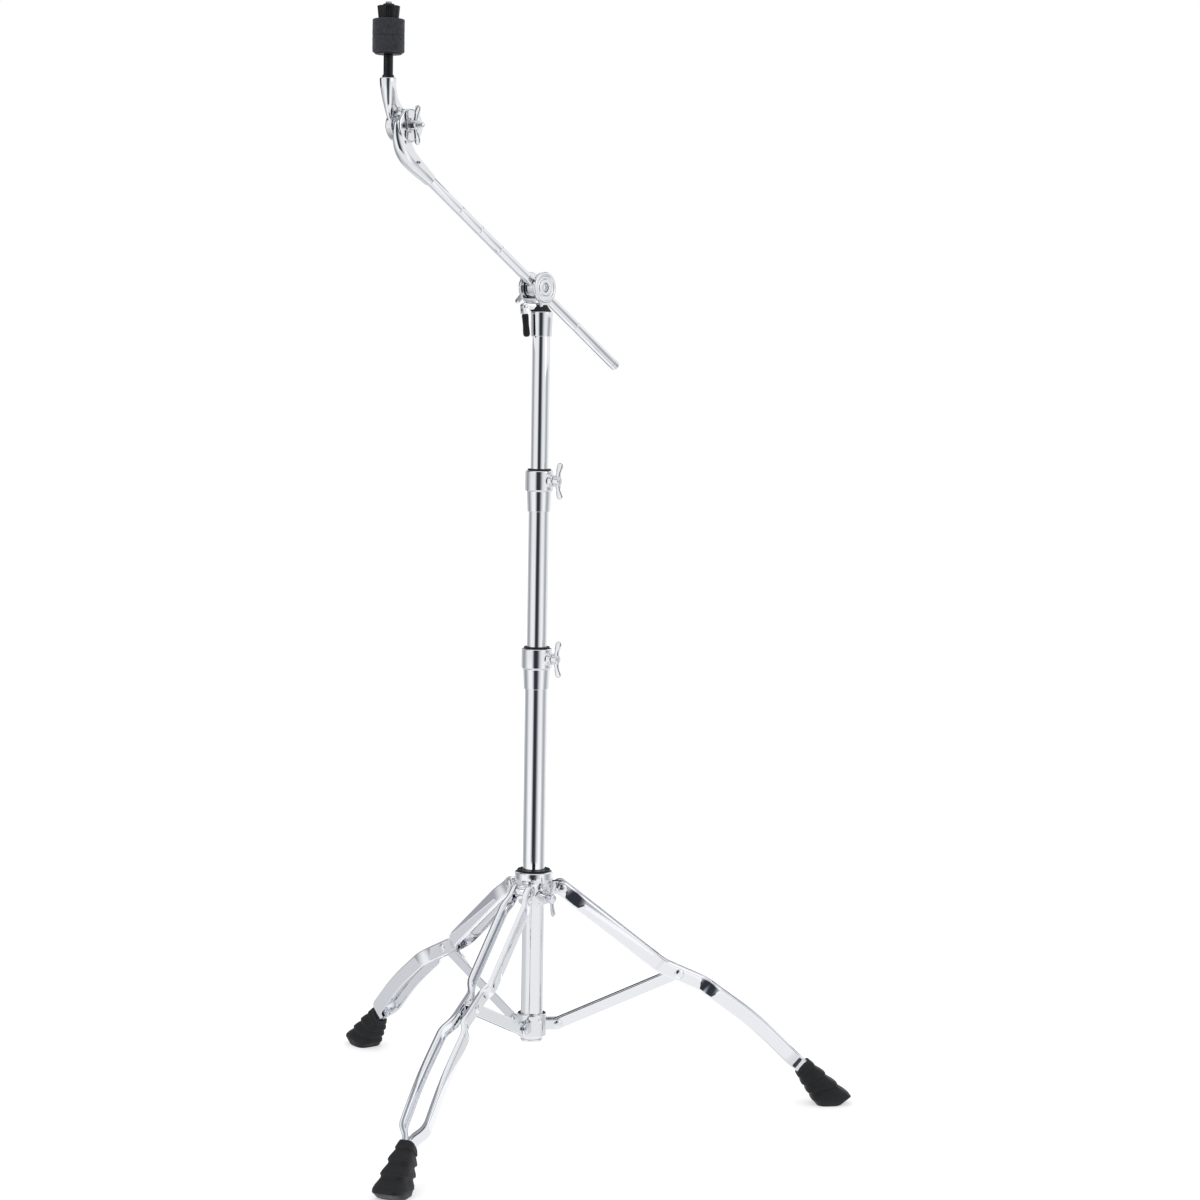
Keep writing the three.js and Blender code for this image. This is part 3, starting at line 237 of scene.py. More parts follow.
def roundedRings(centres, u, v, halfU, halfV, power, count=middleRing):
    # centre + u halfU cos^(2/p) + v halfV sin^(2/p), with the signs kept; a high power squares a ring off.
    angle = 2 * np.pi * (np.arange(count) + 0.5) / count
    c, s = np.cos(angle)[None], np.sin(angle)[None]
    x = np.sign(c) * np.abs(c) ** (2 / power) * np.broadcast_to(halfU, len(centres))[:, None]
    y = np.sign(s) * np.abs(s) ** (2 / power) * np.broadcast_to(halfV, len(centres))[:, None]
    u, v = np.broadcast_to(u, centres.shape), np.broadcast_to(v, centres.shape)
    return centres[:, None] + x[..., None] * u[:, None] + y[..., None] * v[:, None]


def levelRings(x, y, z, halfX, halfY, power, count=middleRing):
    # Rounded rings that lie level, one above another.
    centres = np.stack(np.broadcast_arrays(x, y, z), -1).astype(float)
    return gridShape(roundedRings(centres, axisX, axisY, halfX, halfY, power, count))


def lugShape(start, reach, radius, thickness, edge):
    # A plate in X and Z with a round end. Its outline is inset by edge (1 - sin a) and its faces are moved
    # out by edge (1 - cos a).
    a = np.linspace(0, np.pi / 2, 5)
    inset, out = edge * (1 - np.sin(a)), thickness / 2 - edge * (1 - np.cos(a))
    r = (radius - np.concatenate([inset, inset[::-1]]))[:, None]
    around = np.linspace(-np.pi / 2, np.pi / 2, 33)
    x = np.hstack([start + 0 * r, reach + r * np.cos(around), start + 0 * r])
    z = np.hstack([-r, r * np.sin(around), r])
    y = np.broadcast_to(np.concatenate([-out, out[::-1]])[:, None], x.shape)
    return gridShape(np.stack([x, y, z], -1))


def sweptShape(path, section, scale):
    # A section of (sideways, upright) points carried along a path near the XZ plane.
    ahead = unit(np.gradient(path, axis=0))
    upright = unit(np.stack([-ahead[:, 2], 0 * ahead[:, 0], ahead[:, 0]], -1))
    sideways = np.cross(upright, ahead)
    return gridShape(path[:, None] + section[None, :, :1] * sideways[:, None]
                     + section[None, :, 1:] * scale[:, None, None] * upright[:, None])


thread = dict(perTurn=10, tip=0.86, tipLength=1.2)


def threadShape(radius, depth, pitch, low, high, points=smallRing):
    # r = radius - depth * |sawtooth| of (height / pitch - angle / turn), fading out at the lower end and
    # narrowed at the tip.
    h = np.linspace(low, high, max(int((high - low) / pitch * thread["perTurn"]), 2))[:, None]
    angle = circle(points)[None]
    phase = (h / pitch - angle / (2 * np.pi)) % 1
    cut = depth * np.abs(2 * phase - 1) * np.clip((h - low) / pitch, 0, 1)
    end = np.clip((high - h) / (thread["tipLength"] * depth), 0, 1)
    return gridShape(turned((radius - cut) * (thread["tip"] + (1 - thread["tip"]) * end), h, angle))


def bossShape(bodyRadius, radius, end, flare=2.0, edge=0.9, sunk=1.5):
    # Rings about X that start on the body's own cylinder, x = sqrt(R^2 - y^2), and leave it on a quarter
    # circle.
    a = np.linspace(0, np.pi / 2, 7)
    skirt, rim = radius + flare * (1 - np.sin(a)), radius - edge * (1 - np.cos(a))
    radii = np.concatenate([[radius + flare], skirt, rim, [0]])
    rise = np.concatenate([[-sunk], flare * (1 - np.cos(a))])
    angle = circle(smallRing)[None]
    y, z = radii[:, None] * np.cos(angle), radii[:, None] * np.sin(angle)
    x = np.sqrt(bodyRadius ** 2 - y ** 2)
    x[:len(rise)] += rise[:, None]
    x[len(rise):-1] = end - edge + edge * np.sin(a)[:, None]
    x[-1] = end
    return gridShape(np.stack([x, y, z], -1))


def socketScrew(radius, height, domed, socket, depth):
    # A turned head whose socket's radius follows a hexagon: socket / cos(angle within its sixth).
    angle = circle(castRing)
    sixth = (angle + np.pi / 6) % (np.pi / 3) - np.pi / 6
    hexagon = radius * socket / np.cos(sixth)
    outer = softCorners([(radius, -1), (radius, height - domed), (radius * 0.72, height)], [0, domed, 0.2], 4)
    bottom = height - depth
    rings = [*outer, (hexagon + 0.4, height), (hexagon, height - 0.3), (hexagon, bottom), (0, bottom)]
    return gridShape(np.stack([turned(r, h, angle) for r, h in rings]))


rivetHead = dict(brim=0.35, flat=0.62)    # shares of its height and of its radius


def headedPin(half, radius, overhang, height):
    # A domed rivet head at each end of a shank about Z.
    head = radius + overhang
    side = [(radius, half), (head, half), (head, half + rivetHead["brim"] * height),
            (rivetHead["flat"] * head, half + height), (0, half + height)]
    corners = [(r, -h) for r, h in side[::-1]] + side
    return lathe(corners, [0, 2, 0.6, 0.1, 0, 0, 0.1, 0.6, 2, 0], smallRing)


# Materials


def feed(tree, target, value):
    # A socket is linked; anything else becomes the input's own value.
    if isinstance(value, bpy.types.NodeSocket):
        tree.links.new(value, target)
    else:
        target.default_value = value


def addNode(tree, kind, inputs=None, **settings):
    node = tree.nodes.new("ShaderNode" + kind)
    for name, value in settings.items():
        setattr(node, name, value)
    for name, value in (inputs or {}).items():
        feed(tree, node.inputs[name], value)
    return node


def noiseOf(tree, vector, scale, detail, rough=0.55):
    inputs = {"Vector": vector, "Scale": scale, "Detail": detail, "Roughness": rough}
    return addNode(tree, "TexNoise", inputs).outputs["Fac"]


def rangeOf(tree, value, low, high, fromLow=0.3, fromHigh=0.7):
    # Spreads a noise value over low to high, either of which may be a socket.
    inputs = {"Value": value, "From Min": fromLow, "From Max": fromHigh, "To Min": low, "To Max": high}
    return addNode(tree, "MapRange", inputs).outputs["Result"]


def bumpOf(tree, height, strength, distance=0.0002):
    inputs = {"Height": height, "Strength": strength, "Distance": distance}
    return addNode(tree, "Bump", inputs).outputs["Normal"]


def mathOf(tree, operation, *values, clamp=False):
    return addNode(tree, "Math", dict(enumerate(values)), operation=operation, use_clamp=clamp).outputs[0]


def colourOf(tree, share, dark, pale):
    return addNode(tree, "Mix", {0: share, 6: dark, 7: pale}, data_type="RGBA").outputs[2]


def addSockets(tree, direction, labels):
    kinds = {"Vector": "Vector", "Normal": "Vector", "Color": "Color", "Dark": "Color", "Pale": "Color"}
    for label in labels:
        kind = "NodeSocket" + kinds.get(label, "Float")
        tree.interface.new_socket(name=label, in_out=direction, socket_type=kind)


def newGroup(name, *labels):
    tree = bpy.data.node_groups.new(name, "ShaderNodeTree")
    addSockets(tree, "INPUT", ["Vector", *labels])
    return tree, tree.nodes.new("NodeGroupInput").outputs


def finishGroup(tree, **results):
    addSockets(tree, "OUTPUT", results)
    out = tree.nodes.new("NodeGroupOutput")
    for label, value in results.items():
        feed(tree, out.inputs[label], value)
    return tree


def makePlatingGroup():
    # Plated metal: haze that comes and goes, fine wipe marks, and the slight waviness under the chrome.
    tree, given = newGroup("platedSurface", "Low Haze", "High Haze", "Wave Scale", "Wave Height")
    haze = noiseOf(tree, given["Vector"], 14, 5)
    wipe = noiseOf(tree, given["Vector"], 900, 2)
    wave = noiseOf(tree, given["Vector"], given["Wave Scale"], 1)
    mixed = mathOf(tree, "MULTIPLY_ADD", wipe, 0.35, haze)
    rough = rangeOf(tree, mixed, given["Low Haze"], given["High Haze"], 0.5, 0.85)
    return finishGroup(tree, Roughness=rough, Normal=bumpOf(tree, wave, given["Wave Height"]))


def makeMouldingGroup():
    # Moulded rubber and plastic: fine pebbling, dull and dusty patches, and raised edges painted paler as a
    # painted highlight.
    tree, given = newGroup("mouldedSurface", "Dark", "Pale", "Low Roughness", "High Roughness", "Grain Scale",
                           "Grain Height")
    grain = noiseOf(tree, given["Vector"], given["Grain Scale"], 2)
    dust = noiseOf(tree, given["Vector"], 60, 5, 0.65)
    # Pointiness paints the raised edges in the pale colour as a painted highlight; the dust patches add to
    # it.
    edge = rangeOf(tree, addNode(tree, "NewGeometry").outputs["Pointiness"], 0.0, 0.75, 0.505, 0.56)
    dusty = rangeOf(tree, dust, 0.0, 0.45, 0.45, 0.8)
    colour = colourOf(tree, mathOf(tree, "ADD", edge, dusty, clamp=True), given["Dark"], given["Pale"])
    rough = rangeOf(tree, dust, given["Low Roughness"], given["High Roughness"])
    return finishGroup(tree, Color=colour, Roughness=rough, Normal=bumpOf(tree, grain, given["Grain Height"]))


def makeFeltGroup():
    # Pressed wool: tangled fibres from stretched noise in three directions, with dark and pale flecks.
    tree, given = newGroup("feltedWool", "Dark", "Pale")
    strands = []
    for angles in ((0.2, 0.5, 0.9), (1.4, 0.3, 2.2), (2.6, 1.2, 0.4)):
        lay = addNode(tree, "Mapping", {"Vector": given["Vector"], "Rotation": angles, "Scale": (1, 1, 0.12)})
        strands.append(noiseOf(tree, lay.outputs["Vector"], 2600, 3, 0.7))
    fibres = mathOf(tree, "MAXIMUM", mathOf(tree, "MAXIMUM", strands[0], strands[1]), strands[2])
    clump = noiseOf(tree, given["Vector"], 160, 4, 0.6)
    tangle, tufts = rangeOf(tree, fibres, 0.1, 1.0, 0.5, 0.75), rangeOf(tree, clump, 0.55, 1.0)
    mask = mathOf(tree, "MULTIPLY", tangle, tufts)
    colour = colourOf(tree, mask, given["Dark"], given["Pale"])
    return finishGroup(tree, Color=colour, Normal=bumpOf(tree, fibres, 0.8, 0.0006))


platedSurface, mouldedSurface, feltedWool = makePlatingGroup(), makeMouldingGroup(), makeFeltGroup()


def newMaterial(name):
    made = bpy.data.materials.new(name)
    made.use_nodes = True
    return made, made.node_tree


def surfaceMaterial(name, group, values, shaderValues):
    # The values go to the group's inputs in their order. Its results go to the shader's inputs of the same
    # name, and its colour to the base colour.
    made, tree = newMaterial(name)
    shader, effect = tree.nodes["Principled BSDF"], addNode(tree, "Group", node_tree=group)
    place = addNode(tree, "TexCoord").outputs["Object"]
    for socket, value in zip(effect.inputs, [place, *values]):
        feed(tree, socket, value)
    for label, value in shaderValues.items():
        feed(tree, shader.inputs[label], value)
    for result in effect.outputs:
        feed(tree, shader.inputs["Base Color" if result.name == "Color" else result.name], result)
    return made


def chrome(name, tint, *surface):
    # The surface's numbers are low haze, high haze, wave scale and wave height.
    return surfaceMaterial(name, platedSurface, surface, {"Metallic": 1, "Base Color": (*tint, 1)}), "chrome"


def moulding(name, dark, pale, surface, gloss, slot="black_plastic"):
    # The surface's numbers are low roughness, high roughness, grain scale and grain height.
    return surfaceMaterial(name, mouldedSurface, [(*dark, 1), (*pale, 1), *surface],
                           {"Metallic": 0, "Specular IOR Level": gloss}), slot


# Each finish is a material with the record's slot that it stands for.
tubeChrome = chrome("tubeChrome", (0.80, 0.812, 0.84), 0.015, 0.06, 120, 0.01)
castChrome = chrome("castChrome", (0.76, 0.775, 0.80), 0.03, 0.1, 260, 0.06)
pressedChrome = chrome("pressedChrome", (0.82, 0.835, 0.865), 0.02, 0.09, 60, 0.05)
threadSteel = chrome("threadSteel", (0.62, 0.64, 0.67), 0.12, 0.28, 600, 0.12)
footRubber = moulding("footRubber", (0.005, 0.0055, 0.007), (0.03, 0.032, 0.038),
                      (0.42, 0.7, 1400, 0.22), 0.36, "rubber")
nutPlastic = moulding("nutPlastic", (0.006, 0.0065, 0.0105), (0.026, 0.028, 0.036),
                      (0.3, 0.5, 900, 0.08), 0.25)
gripPlastic = moulding("gripPlastic", (0.006, 0.006, 0.0075), (0.026, 0.026, 0.03),
                       (0.35, 0.6, 1200, 0.15), 0.2)
seatFelt = surfaceMaterial(
    "seatFelt", feltedWool, [(0.022, 0.024, 0.03, 1), (0.13, 0.138, 0.158, 1)],
    {"Metallic": 0, "Roughness": 0.95, "Sheen Weight": 0.35, "Sheen Roughness": 0.4,
     "Specular IOR Level": 0.1},
), "grey_felt"
print("materials made")

# Pieces. Each rides on the body of the node that it stands for.


def makePiece(name, shapes, place, finish, node, sharp=38, voxel=0, smooth=0):
    material, slot = finish
    points, faces, used = [], [], 0
    for shapePoints, shapeFaces in shapes:
        points.append(shapePoints)
        faces += [[used + k for k in face] for face in shapeFaces]
        used += len(shapePoints)
    points = moved((np.vstack(points), []), place)[0] * mm
    mesh = bpy.data.meshes.new(name)
    mesh.from_pydata(points.tolist(), [], faces)
    work = bmesh.new()
    work.from_mesh(mesh)
    bmesh.ops.remove_doubles(work, verts=work.verts, dist=2e-6)
    bmesh.ops.recalc_face_normals(work, faces=work.faces)
    work.to_mesh(mesh)
    work.free()
    item = addObject(name, mesh)
    if voxel:
        castTogether(item, voxel, smooth)
    item.data.materials.append(material)
    item.data.shade_smooth()
    if not voxel:
        item.data.set_sharp_from_angle(angle=math.radians(sharp))
    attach(item, frame["nodes"][node]["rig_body"])
    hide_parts(node)
    return item


def castTogether(item, voxel, smooth):
    # Overlapping closed shapes become one skin, and smoothing gives the fillets of a casting.
    remesh = item.modifiers.new("joined", "REMESH")
    remesh.mode, remesh.voxel_size = "VOXEL", voxel * mm
    relax = item.modifiers.new("fillets", "SMOOTH")
    relax.factor, relax.iterations = 0.5, smooth
    bpy.context.view_layer.update()
    result = bpy.data.meshes.new_from_object(item.evaluated_get(bpy.context.evaluated_depsgraph_get()))
    result.name = item.name
    item.modifiers.clear()
    item.data = result


# Column

column = dict(
    upperRadius=11.1, middleRadius=12.7, baseRadius=14.3, wall=1.2, edge=0.35, base=(96, 581),
    middle=(304, 808), upper=(502, 1025),
)
for level in ("base", "middle", "upper"):
    radius = column[level + "Radius"]
    shape = bandShape(radius - column["wall"], radius, *column[level], column["edge"])
    makePiece(level + "TubeShell", [shape], standPlace, tubeChrome, level + "_tube")

plug = dict(flange=3.5, stem=16)


def plugShape(p):
    r, top = column["baseRadius"], column["base"][0] - seatGap
    stem = r - column["wall"] - seatGap
    return lathe([(0, top - p["flange"]), (r, top - p["flange"]), (r, top), (stem, top),
                  (stem, top + p["stem"]), (0, top + p["stem"])], [0, 1.2, 0.3, 0.3, 0.8, 0])


makePiece("baseTubePlug", [plugShape(plug)], standPlace, pressedChrome, "base_plug")

wing = dict(
    span=47, thickness=3.9, tip=4.6, sweep=8.5, bow=1.4, waist=4.4, pinch=1.2, swell=0.25, swellReach=0.35,
    power=2.6, hub=6, hubLength=9.5, bore=3.4, bolt=3, thread=0.35, pitch=1.0, threadPoints=40, voxel=0.45,
    smooth=6,
)


def wingShapes(w, bored):
    # Level rings: the middle line bows outwards, the half width narrows to a waist and ends on a round tip.
    reach, start, tip = w["span"] / 2, w["hubLength"] * 0.5, w["tip"]
    z = reach * np.sin(np.linspace(-np.pi / 2, np.pi / 2, 49))
    far = np.abs(z) / (reach - tip)
    onBlade = np.minimum(far, 1)
    middle = start + (w["sweep"] - start) * onBlade ** w["bow"]
    blade = w["waist"] - w["pinch"] * np.sin(np.pi * onBlade) ** 2 + (tip - w["waist"]) * onBlade
    overTip = np.clip(np.abs(z) - (reach - tip), 0, tip)
    half = np.where(far > 1, np.sqrt(np.maximum(tip ** 2 - overTip ** 2, 0.01)), blade)
    thick = (w["thickness"] / 2 * (1 + w["swell"] * np.exp(-(far / w["swellReach"]) ** 2))
             * np.sqrt(np.maximum(1 - (np.abs(z) / reach) ** 10, 0.004)))
    r, length, bore = w["hub"], w["hubLength"], w["bore"] if bored else 0
    corners = [(bore, 0), (r, 0), (r - 0.7, length - 0.4), (bore, length)]
    hub = lathe(corners, [0.3, 0.6, 1.6, 0.5], middleRing)
    return [levelRings(middle, 0, z, half, thick, w["power"], smallRing), moved(hub, alongX)]


def wingBolt(name, node, place, shank=0):
    # Without a shank it is a wing nut, with a bored hub.
    makePiece(name, wingShapes(wing, not shank), place, castChrome, node, voxel=wing["voxel"],
              smooth=wing["smooth"])
    if shank:
        bolt = threadShape(wing["bolt"], wing["thread"], wing["pitch"], -shank, 1, wing["threadPoints"])
        makePiece(name + "Thread", [moved(bolt, alongX)], place, threadSteel, node)


clamps = dict(
    height=25, belowTop=3, wall=4.6, neck=27, neckWall=2.3, neckEnd=1.2, step=0.8, boss=7.5, bossReach=5,
    azimuth=-40, flange=2, flangeInset=2.6, slit=2,
)


def clampShapes(c, tubeRadius, tubeTop):
    bore, band = tubeRadius + seatGap, tubeRadius + seatGap + c["wall"]
    low = tubeTop - c["belowTop"]
    high = low + c["height"]
    body = lathe([
        (bore, low - c["neck"]), (bore + c["neckEnd"], low - c["neck"]),
        (bore + c["neckWall"], low - c["step"]), (band, low), (band, high), (bore, high),
    ], [0.3, 0.6, 2.2, 1.8, 4.0, 0.4])
    boss = bossShape(band, c["boss"], band + c["bossReach"])
    return [body, moved(boss, turn("z", c["azimuth"]) @ shift(0, 0, (low + high) / 2))]


def bushingShape(inner, outer, low, high, flange):
    # A slit sleeve with a flange that rests on the rim at high; the slit faces away from the wing bolt.
    lip = high + seatGap
    corners = [(inner, low), (outer, low), (outer, lip), (flange, lip),
               (flange, lip + clamps["flange"]), (inner, lip + clamps["flange"])]
    gap = math.degrees(clamps["slit"] / outer) / 2
    start = clamps["azimuth"] + 180 + gap
    return lathe(corners, [0.2, 0.2, 0.1, 0.3, 0.5, 0.3], start=start, sweep=360 - 2 * gap)


for level, inner in (("base", "middle"), ("middle", "upper")):
    c, outerRadius, innerRadius = clamps, column[level + "Radius"], column[inner + "Radius"]
    top = column[level][1]
    high = top - c["belowTop"] + c["height"]
    bandRadius = outerRadius + seatGap + c["wall"]
    makePiece(level + "ClampBody", clampShapes(c, outerRadius, top), standPlace, castChrome, level + "_clamp")
    liner = bushingShape(innerRadius + seatGap, outerRadius, top + seatGap, high,
                         bandRadius - c["flangeInset"])
    makePiece(level + "ClampLiner", [liner], standPlace, nutPlastic, level + "_bushing")
    seat = bandRadius + c["bossReach"] + seatGap
    place = standPlace @ turn("z", c["azimuth"]) @ shift(seat, 0, high - c["height"] / 2)
    wingBolt(level + "ClampWings", level + "_wing_bolt", place, seat - outerRadius - seatGap)
print("column made")

# Sliding hub

hub = dict(
    bottom=273, top=315, liner=(14.6, 16.0), linerFlange=5, bore=16.3, wall=3.2, flange=24.5,
    flangeHeight=13, cone=7, lugRadius=8.5, lugWidth=14, lugStart=1.5, lugEdge=1.8, wingAzimuth=-60,
    wingDrop=8, bossEnd=34, boss=7.5, shank=18,
)
hubWing = turn("z", hub["wingAzimuth"]) @ shift(0, 0, joint["hubHeight"] - hub["wingDrop"])


def hubShapes(h):
    wall, high, ledge = h["bore"] + h["wall"], h["top"], h["top"] - h["flangeHeight"]
    shapes = [lathe([
        (h["bore"], h["bottom"]), (wall, h["bottom"]), (wall, ledge - h["cone"]),
        (h["flange"], ledge), (h["flange"], high), (h["bore"], high),
    ], [0.4, 1.4, 3.0, 3.6, 3.4, 0.6])]
    lug = lugShape(h["bore"] + h["lugStart"], joint["hubRadius"], h["lugRadius"], h["lugWidth"], h["lugEdge"])
    shapes += [moved(lug, turn("z", 120 * number) @ shift(0, 0, joint["hubHeight"])) for number in range(3)]
    return shapes + [moved(bossShape(wall, h["boss"], h["bossEnd"]), hubWing)]


makePiece("hubBody", hubShapes(hub), standPlace, castChrome, "hub_collar")
hubLiner = bushingShape(*hub["liner"], hub["bottom"], hub["top"], hub["bore"] + hub["linerFlange"])
makePiece("hubLiner", [hubLiner], standPlace, nutPlastic, "hub_bushing")
hubWingPlace = standPlace @ hubWing @ shift(hub["bossEnd"] + seatGap, 0, 0)
wingBolt("hubWings", "hub_wing_bolt", hubWingPlace, hub["shank"])

# Lower collar

collar = dict(
    height=30, wall=4.4, earThickness=3, earRadius=7, earStart=2, earEdge=0.6, rivet=3.5, rivetHeight=1.4,
    stayWidth=8,
)


def collarShapes(c):
    bore = column["baseRadius"] + seatGap
    wall, middle = bore + c["wall"], joint["collarHeight"]
    low, high = middle - c["height"] / 2, middle + c["height"] / 2
    shapes = [bandShape(bore, wall, low, high, [0.4, 1.8, 1.8, 0.4])]
    ear = lugShape(bore + c["earStart"], joint["collarRadius"], c["earRadius"], c["earThickness"],
                   c["earEdge"])
    offset = c["stayWidth"] / 2 + seatGap + c["earThickness"] / 2
    low, edge, top = wall - 1.5, wall + 0.4, wall + c["rivetHeight"]
    rivet = lathe([(0, low), (c["rivet"], low), (c["rivet"], edge), (0, top)], [0, 0, 1.4, 0], tinyRing)
    for number in range(3):
        towards = turn("z", 120 * number)
        shapes += [moved(ear, towards @ shift(0, side * offset, middle)) for side in (-1, 1)]
        between = turn("z", 120 * number + 60)
        shapes.append(moved(rivet, between @ shift(0, 0, middle + c["height"] / 4) @ alongX))
    return shapes


makePiece("collarBody", collarShapes(collar), standPlace, castChrome, "lower_collar")
print("hub and collar made")

# Legs. Bars run from the hub to the foot, and stays from the lower collar to the knee.

leg = dict(
    barHeight=19, barThickness=6.5, barWall=3, barEdge=3, pin=(4, 2, 1.8), knee=(191, 0, 178.5),
    kneeSlope=24, aboveKnee=24, belowKnee=35, upperSplay=15, lowerSplay=16, straight=13, run=15, arch=6,
    inFoot=24, beforeFoot=(22, 6), rivet=6.5, rivetHeight=2.4, bend=9, archBend=60,
)
stay = dict(halfHeight=7.5, wall=1.5, sections=12, pin=(3, 2, 1.5))
foot = dict(
    neck=(358.5, 0, 50.8), slope=41, depth=25, width=20, soleWidth=40, soleLength=31, toe=(46, 0, 11),
    heel=27.5, heelEdge=(-3, 0, 4), widening=0.8, power=3.4, sections=161, lipAt=(4.0, -0.1, -0.5),
    lipInset=1.2, lipPower=5, slot=(0.4, 0.3), soleEdge=(1, 0, 1.2), soleGrowth=(1.6, 0),
    soleInset=(1.0, 2.5), rib=1.3,
    ribAt=(0, 0.13, 0.16, 0.30, 0.37, 0.41, 0.44, 0.58, 0.65, 0.69, 0.72, 0.86, 0.94, 1),
    ribOut=(0, 0.3, -1, 0.7, 1, -0.7, -1, 0.7, 1, -0.7, -1, 0.7, 1, 0),
)
hubOffset = hub["lugWidth"] / 2 + seatGap + leg["barThickness"] / 2
kneeOffset = collar["stayWidth"] / 2 + seatGap + leg["barThickness"] / 2
footOffset = (seatGap + leg["barThickness"]) / 2
hubPivot = np.array([joint["hubRadius"], 0, joint["hubHeight"]], float)
collarPivot = np.array([joint["collarRadius"], 0, joint["collarHeight"]], float)
knee, footNeck = np.array(leg["knee"], float), np.array(foot["neck"], float)
quarter = np.linspace(0.06, np.pi / 2, 10)      # angles round a rounded end


def downhill(slope):
    return np.array([math.cos(math.radians(slope)), 0, -math.sin(math.radians(slope))])


def barPath(g):
    # The bar's middle line: splayed between the hub and the knee, pinched there, and splayed again below it.
    pinchTop = knee - downhill(g["kneeSlope"]) * g["aboveKnee"]
    pinchEnd = knee + downhill(g["kneeSlope"]) * g["belowKnee"]
    down, footward = unit(pinchTop - hubPivot), downhill(foot["slope"])
    chord = unit(footNeck - pinchEnd)
    arch = (pinchEnd + footNeck) / 2 + np.array([-chord[2], 0, chord[0]]) * g["arch"]
    splayEnd, pinchStart = g["beforeFoot"]
    stations = [
        (hubPivot, hubOffset), (hubPivot + down * g["straight"], hubOffset),
        (hubPivot + down * (g["straight"] + g["run"]), g["upperSplay"]),
        (pinchTop - down * g["run"], g["upperSplay"]), (pinchTop, kneeOffset), (pinchEnd, kneeOffset),
        (pinchEnd + unit(arch - pinchEnd) * g["run"], g["lowerSplay"]), (arch, g["lowerSplay"]),
        (footNeck - footward * splayEnd, g["lowerSplay"]), (footNeck - footward * pinchStart, footOffset),
        (footNeck + footward * g["inFoot"], footOffset),
    ]
    line = np.array([[point[0], side, point[2]] for point, side in stations])
    bends = [g["archBend"] if point is arch else g["bend"] for point, _ in stations]
    path = softCorners(line, bends, 9)
    roundEnd = line[0] - down * (g["barHeight"] / 2 * np.cos(quarter[:-1]))[:, None]
    return np.vstack([roundEnd, path]), np.concatenate([np.sin(quarter[:-1]), np.ones(len(path))])


def barSection(g):
    # A channel that opens towards the leg's middle plane, its outer edges well rounded.
    t, h, w = g["barThickness"] / 2, g["barHeight"] / 2, g["barWall"]
    corners = [(-t, h), (t, h), (t, -h), (-t, -h), (-t, w - h), (t - w, w - h), (t - w, h - w), (-t, h - w)]
    return softCorners(corners, [0.5, g["barEdge"], g["barEdge"], 0.5, 0.5, 0.9, 0.9, 0.5], 5, True)


def barShapes(g, side):
    path, scale = barPath(g)
    r, face = g["rivet"], kneeOffset + g["barThickness"] / 2
    top = face + g["rivetHeight"]
    rivet = lathe([(0, face - 1), (r, face - 1), (r, face + 0.8), (0.5 * r, top), (0, top)],
                  [0, 0, 1.4, 1.0, 0], smallRing)
    shapes = [sweptShape(path, barSection(g), scale), moved(rivet, shift(knee[0], 0, knee[2]) @ alongY)]
    return [moved(shape, flip("y")) if side < 0 else shape for shape in shapes]


def stayShape(y):
    # A channel that opens downwards, with both ends rounded.
    w, h, wall, count = collar["stayWidth"] / 2, y["halfHeight"], y["wall"], y["sections"]
    corners = [(-w, -h), (-w, h), (w, h), (w, -h), (w - wall, -h), (w - wall, h - wall),
               (wall - w, h - wall), (wall - w, -h)]
    section = softCorners(corners, [0.4, 1.7, 1.7, 0.4, 0.4, 0.7, 0.7, 0.4], 5, True)
    length = np.linalg.norm(knee - collarPivot)
    along = np.concatenate([-h * np.cos(quarter), np.linspace(0, length, count)[1:-1],
                            length + h * np.cos(quarter[::-1])])
    scale = np.concatenate([np.sin(quarter), np.ones(count - 2), np.sin(quarter[::-1])])
    return sweptShape(collarPivot + unit(knee - collarPivot) * along[:, None], section, scale)


def bootShape(f):
    # Rounded sections from the neck's slope down to the flat sole; each tier steps out and then tapers back.
    slope = math.radians(f["slope"])
    across = np.array([math.sin(slope), 0, math.cos(slope)])
    heelTop, toeTop = footNeck - across * f["depth"] / 2, footNeck + across * f["depth"] / 2
    heel = np.array([heelTop[0] + f["heel"], 0, 0])
    share = np.linspace(0, 1, f["sections"])
    swell = f["rib"] * np.interp(share, f["ribAt"], f["ribOut"])
    swell = np.convolve(np.pad(swell, 1, "edge"), [0.25, 0.5, 0.25], "valid")
    back = heelTop + (heel + f["heelEdge"] - heelTop) * share[:, None]
    front = toeTop + (heel + f["toe"] - toeTop) * share[:, None]
    width = f["width"] + (f["soleWidth"] - f["width"]) * share ** f["widening"] + 2 * swell
    centres, reach = (front + back) / 2, np.linalg.norm(front - back, axis=1) / 2 + swell
    body = roundedRings(centres, unit(front - back), axisY, reach, width / 2, f["power"], castRing)
    slotU, slotV = leg["barHeight"] / 2 + f["slot"][0], 2 * footOffset + f["slot"][1]
    lipU = [slotU, slotU, f["depth"] / 2 - f["lipInset"]]
    lipV = [slotV, slotV, f["width"] / 2 - f["lipInset"]]
    inward = centres[0] + downhill(f["slope"]) * np.array(f["lipAt"])[:, None]
    lip = roundedRings(inward, across, axisY, lipU, lipV, f["lipPower"], castRing)
    sole = heel + [f["soleLength"] / 2, 0, 0]
    soles = roundedRings(np.array([sole + f["soleEdge"], sole]), axisX, axisY,
                         f["soleLength"] / 2 + np.array(f["soleGrowth"]),
                         f["soleWidth"] / 2 - np.array(f["soleInset"]), f["power"], castRing)
    return gridShape(np.concatenate([lip, body, soles]))


